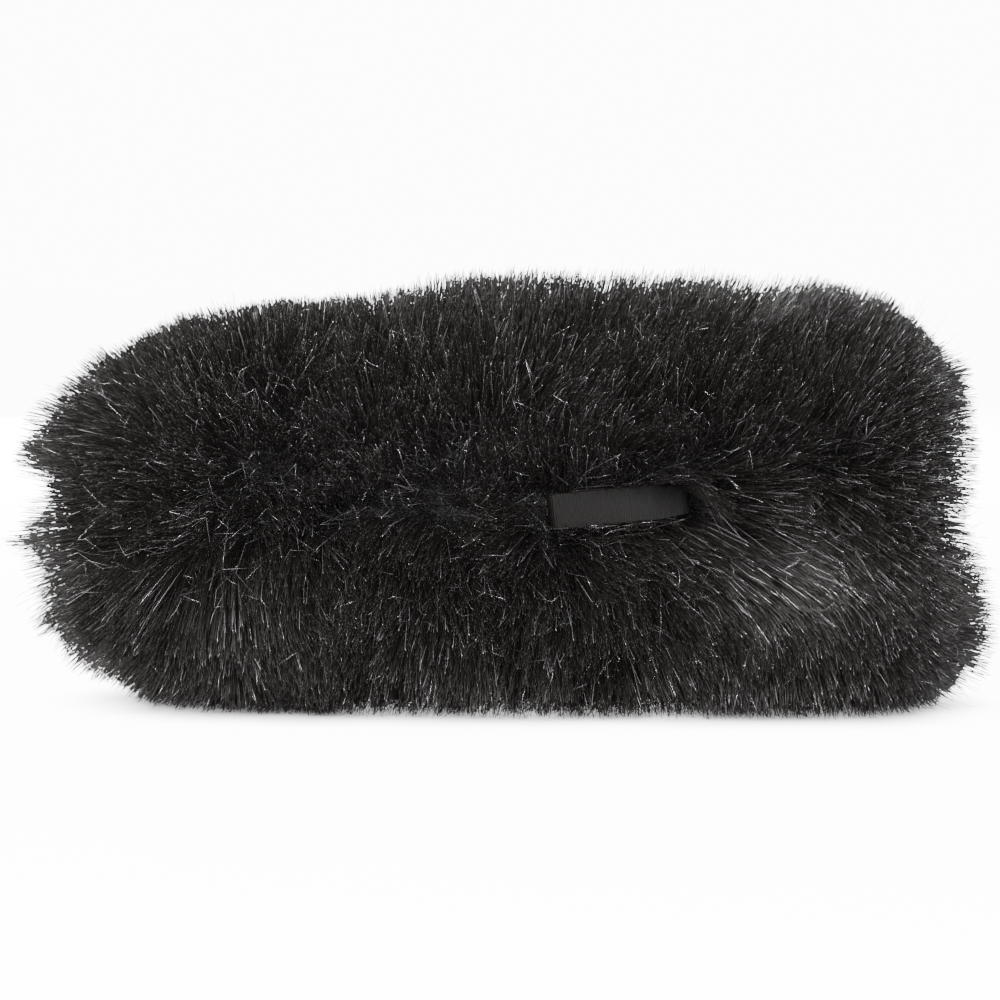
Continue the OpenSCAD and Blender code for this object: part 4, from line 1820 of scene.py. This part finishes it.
@dataclass
class Core:
    """The foam, the slotted cage with its cap and pad, and the rubber boot."""

    finishes: Finishes
    fit: float = 0.3 * MM           # gap round the cage in the foam
    skin: float = 0.18 * MM         # depth of the dents in the foam's skin
    dent: float = 1.6 * MM
    pad_skin: float = 0.12 * MM
    pad_dent: float = 1.3 * MM
    flange_t: float = 2.3 * MM      # depth of the sleeve's recess for the cage's flange
    lip_r: float = 9.5 * MM
    lip_len: float = 3 * MM
    lip_h: float = 1.5 * MM
    collar_r: float = 15.5 * MM
    spigot_r: float = 12.4 * MM
    plate_x: tuple[float, float] = (-5 * MM, -14 * MM)  # the plate's rear and front faces
    groove_half: float = 2.15 * MM
    cord_d: float = 2.4 * MM
    cord_gap: float = 0.95 * MM     # from the hem's cord down to the groove's floor

    def build(self) -> None:
        """Makes the core from the inside out."""
        for name in ("cage_tube", "cage_nose_cap"):
            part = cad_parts[name]
            part.data.materials.clear()
            part.data.materials.append(self.finishes.nylon)
        self.pad()
        self.sleeve()
        self.nose()
        self.boot()

    def dented(self, piece: bpy.types.Object, depth: float, feature: float, seed: int) -> None:
        """Gives foam its uneven skin: each point moves in along its normal by the noise.

        Args:
            piece: the foam piece.
            depth: the deepest dent.
            feature: the size of a dent.
            seed: the noise's seed.
        """
        mesh = piece.data
        places = np.empty(len(mesh.vertices) * 3)
        normals = np.empty_like(places)
        mesh.vertices.foreach_get("co", places)
        mesh.vertices.foreach_get("normal", normals)
        places, normals = places.reshape(-1, 3), normals.reshape(-1, 3)
        noise = np.abs(Lattice(seed)(places, feature)) * depth
        mesh.vertices.foreach_set("co", (places - normals * noise).astype(np.float32).ravel())
        mesh.update()

    def pad(self) -> None:
        """The soft disc at the end of the slot."""
        low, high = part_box("end_pad")
        profile = stretched(rounded([(low.x, 0), (low.x, high.z), (high.x, high.z), (high.x, 0)],
                                    1.0 * MM, False), 1.1 * MM)
        piece = turned("end_pad_piece", profile, 64, False)
        self.dented(piece, self.pad_skin, self.pad_dent, 31)
        finish_piece(piece, "core", "foam", self.finishes.foam, "end_pad")

    def sleeve(self) -> None:
        """The foam tube round the cage, with a recess for the cage's flange."""
        low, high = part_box("foam_sleeve")
        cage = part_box("cage_tube")[1].z
        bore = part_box("cage_nose_cap")[1].z + self.fit
        flange_x = high.x - self.flange_t
        loop = [(high.x, cage + self.fit), (high.x, high.z), (low.x, high.z), (low.x, bore),
                (flange_x, bore), (flange_x, cage + self.fit)]
        loop = rounded(loop, 0.8 * MM, True)
        profile = stretched(np.concatenate([loop, loop[:1]]), 2.3 * MM)[:-1]
        piece = turned("foam_sleeve_piece", profile, 110, True)
        self.dented(piece, self.skin, self.dent, 32)
        finish_piece(piece, "core", "foam", self.finishes.foam, "foam_sleeve")

    def nose(self) -> None:
        """The solid foam nose, hollowed for the end of the cage."""
        low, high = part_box("foam_nose")
        cap_low, cap_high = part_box("cage_nose_cap")
        t = np.linspace(0, math.pi / 2, 40)
        outline = [(high.x - (high.x - low.x) * math.cos(a), high.z * math.sin(a)) for a in t]
        bore, floor_x = cap_high.z + self.fit, cap_low.x - self.fit
        inner = rounded([(high.x, high.z), (high.x, bore), (floor_x, bore), (floor_x, 0)],
                        0.6 * MM, False)
        profile = stretched(np.concatenate([outline, inner[1:]]), 2.1 * MM)
        profile[0, 1] = profile[-1, 1] = 0.0
        piece = turned("foam_nose_piece", profile, 116, False)
        self.dented(piece, self.skin, self.dent, 33)
        finish_piece(piece, "core", "foam", self.finishes.foam, "foam_nose")

    def boot(self) -> None:
        """The rubber boot: collar, grooved plate and spigot, with lips in its bore."""
        low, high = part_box("rubber_boot")
        plate_r, lip_r = high.z, self.lip_r
        rear_x, front_x = self.plate_x
        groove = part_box("hem_elastic")
        mid = (groove[0].x + groove[1].x) / 2
        half = self.groove_half
        floor_r = groove[1].z - self.cord_d - self.cord_gap
        pitch = (-low.x - self.lip_len) / 3
        outer = [(high.x, lip_r), (high.x, self.collar_r), (rear_x, self.collar_r),
                 (rear_x, plate_r),
                 (mid + half, plate_r), (mid + half, floor_r), (mid - half, floor_r),
                 (mid - half, plate_r), (front_x, plate_r), (front_x, self.spigot_r),
                 (low.x, self.spigot_r), (low.x, lip_r)]
        bore = []
        for i in (2, 1, 0):
            front, rear, wide_r = -(i + 1) * pitch, -i * pitch - self.lip_len, lip_r + self.lip_h
            bore += [(front, lip_r), (front, wide_r), (rear, wide_r), (rear, lip_r)]
        profile = rounded(outer + bore, 0.55 * MM, True)
        piece = turned("rubber_boot_piece", profile, 96, True)
        finish_piece(piece, "core", "boot_rubber", self.finishes.rubber, "rubber_boot")


# ---------------------------------------------------------------- the stage


@dataclass(frozen=True)
class Studio:
    """A white table, soft light all round and a long lens at the object's side."""

    floor_z: float
    aim: tuple[float, float, float] = (-0.1041, 0.0, 0.0021)
    azimuth: float = 2.0
    elevation: float = 5.0
    distance: float = 0.95
    width: float = 0.2485
    white: float = 12.5     # what the camera sees as pure white
    light: float = 0.85     # the light that comes from all round
    overhead: float = 0.2   # share of that light that comes from straight above

    def build(self) -> None:
        """Makes the table, the lights and the camera."""
        self.table()
        self.sky()
        self.lamp("key", (-0.42, -0.95, 0.34), 0.45, 38.0, (1.0, 0.985, 0.97))
        self.lamp("back", (-0.30, 1.0, 0.30), 0.6, 26.0, (0.97, 0.98, 1.0))
        self.lamp("side", (0.95, -0.60, 0.30), 0.4, 36.0, (0.97, 0.98, 1.0))
        self.camera()

    def table(self) -> None:
        """The pale table, which shows white by a glow seen only by the camera and takes a faint
        shadow, painted where ambient occlusion dims that glow.
        """
        size = 3.0
        corners = np.array([(-size, -size), (size, -size), (size, size), (-size, size)])
        verts = np.column_stack([corners, np.full(4, self.floor_z - 0.1 * MM)])
        floor = make_piece("table", verts, np.array([[0, 1, 2, 3]]))
        tree = Tree("table_top")
        seen = tree.node("ShaderNodeLightPath", {}, {})[0]
        # ambient occlusion dims the camera-seen glow near the object: a painted shadow
        open_air = tree.node("ShaderNodeAmbientOcclusion", {"samples": 8}, {"Distance": 0.014})[1]
        floor.data.materials.append(tree.dress(
            Base_Color=(0.9, 0.9, 0.9), Roughness=0.9, Emission_Color=(1.0, 1.0, 1.0),
            Emission_Strength=seen * (self.white - self.light) * open_air ** 2.0))

    def sky(self) -> None:
        """Soft white light from everywhere."""
        world = bpy.data.worlds.new("studio")
        world.use_nodes = True
        nodes, links = world.node_tree.nodes, world.node_tree.links
        back = nodes["Background"]
        back.inputs["Color"].default_value = (0.98, 0.99, 1.0, 1.0)
        seen = nodes.new("ShaderNodeLightPath").outputs["Is Camera Ray"]
        way = nodes.new("ShaderNodeSeparateXYZ")
        links.new(nodes.new("ShaderNodeTexCoord").outputs["Generated"], way.inputs[0])
        height = nodes.new("ShaderNodeMapRange")
        height.inputs["From Min"].default_value = 0.1
        height.inputs["From Max"].default_value = 0.9
        height.inputs["To Min"].default_value = self.light
        height.inputs["To Max"].default_value = self.light * self.overhead
        links.new(way.outputs["Z"], height.inputs["Value"])
        level = nodes.new("ShaderNodeMapRange")
        level.inputs["To Max"].default_value = self.white
        links.new(seen, level.inputs["Value"])
        links.new(height.outputs["Result"], level.inputs["To Min"])
        links.new(level.outputs["Result"], back.inputs["Strength"])
        bpy.context.scene.world = world

    def lamp(self, name: str, place: tuple, size: float, power: float, colour: Colour) -> None:
        """A square soft light that faces the object.

        Args:
            name: its name.
            place: where it stands.
            size: the length of its side.
            power: its power in watts.
            colour: its colour.
        """
        data = bpy.data.lights.new(name, "AREA")
        data.size = size
        data.energy = power
        data.color = colour
        lamp = bpy.data.objects.new(name, data)
        lamp.location = place
        way = Vector(self.aim) - Vector(place)
        lamp.rotation_euler = way.to_track_quat("-Z", "Y").to_euler()
        bpy.context.scene.collection.objects.link(lamp)

    def camera(self) -> None:
        """A camera that frames width metres at the aim point."""
        a, e = math.radians(self.azimuth), math.radians(self.elevation)
        away = Vector((math.sin(a) * math.cos(e), -math.cos(a) * math.cos(e), math.sin(e)))
        data = bpy.data.cameras.new("camera")
        data.sensor_width = 36.0
        data.lens = 36.0 * self.distance / self.width
        data.clip_start = 0.01
        camera = bpy.data.objects.new("camera", data)
        camera.location = Vector(self.aim) + away * self.distance
        camera.rotation_euler = (-away).to_track_quat("-Z", "Y").to_euler()
        bpy.context.scene.collection.objects.link(camera)
        bpy.context.scene.camera = camera


def main() -> None:
    """Builds the windscreen and its studio in order."""
    logging.basicConfig(level=logging.INFO, format="%(name)s: %(message)s")
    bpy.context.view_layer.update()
    shape = CoverShape()
    tag = Tag(shape)
    finishes = Finishes()
    Core(finishes).build()
    piles = FurCover(shape).build()
    CoverCloth(shape, tag, finishes).build(piles)
    Hem(shape, finishes).build()
    Sewing(shape, tag, finishes).build()
    Studio(shape.floor_z).build()


if __name__ == "__main__":
    main()
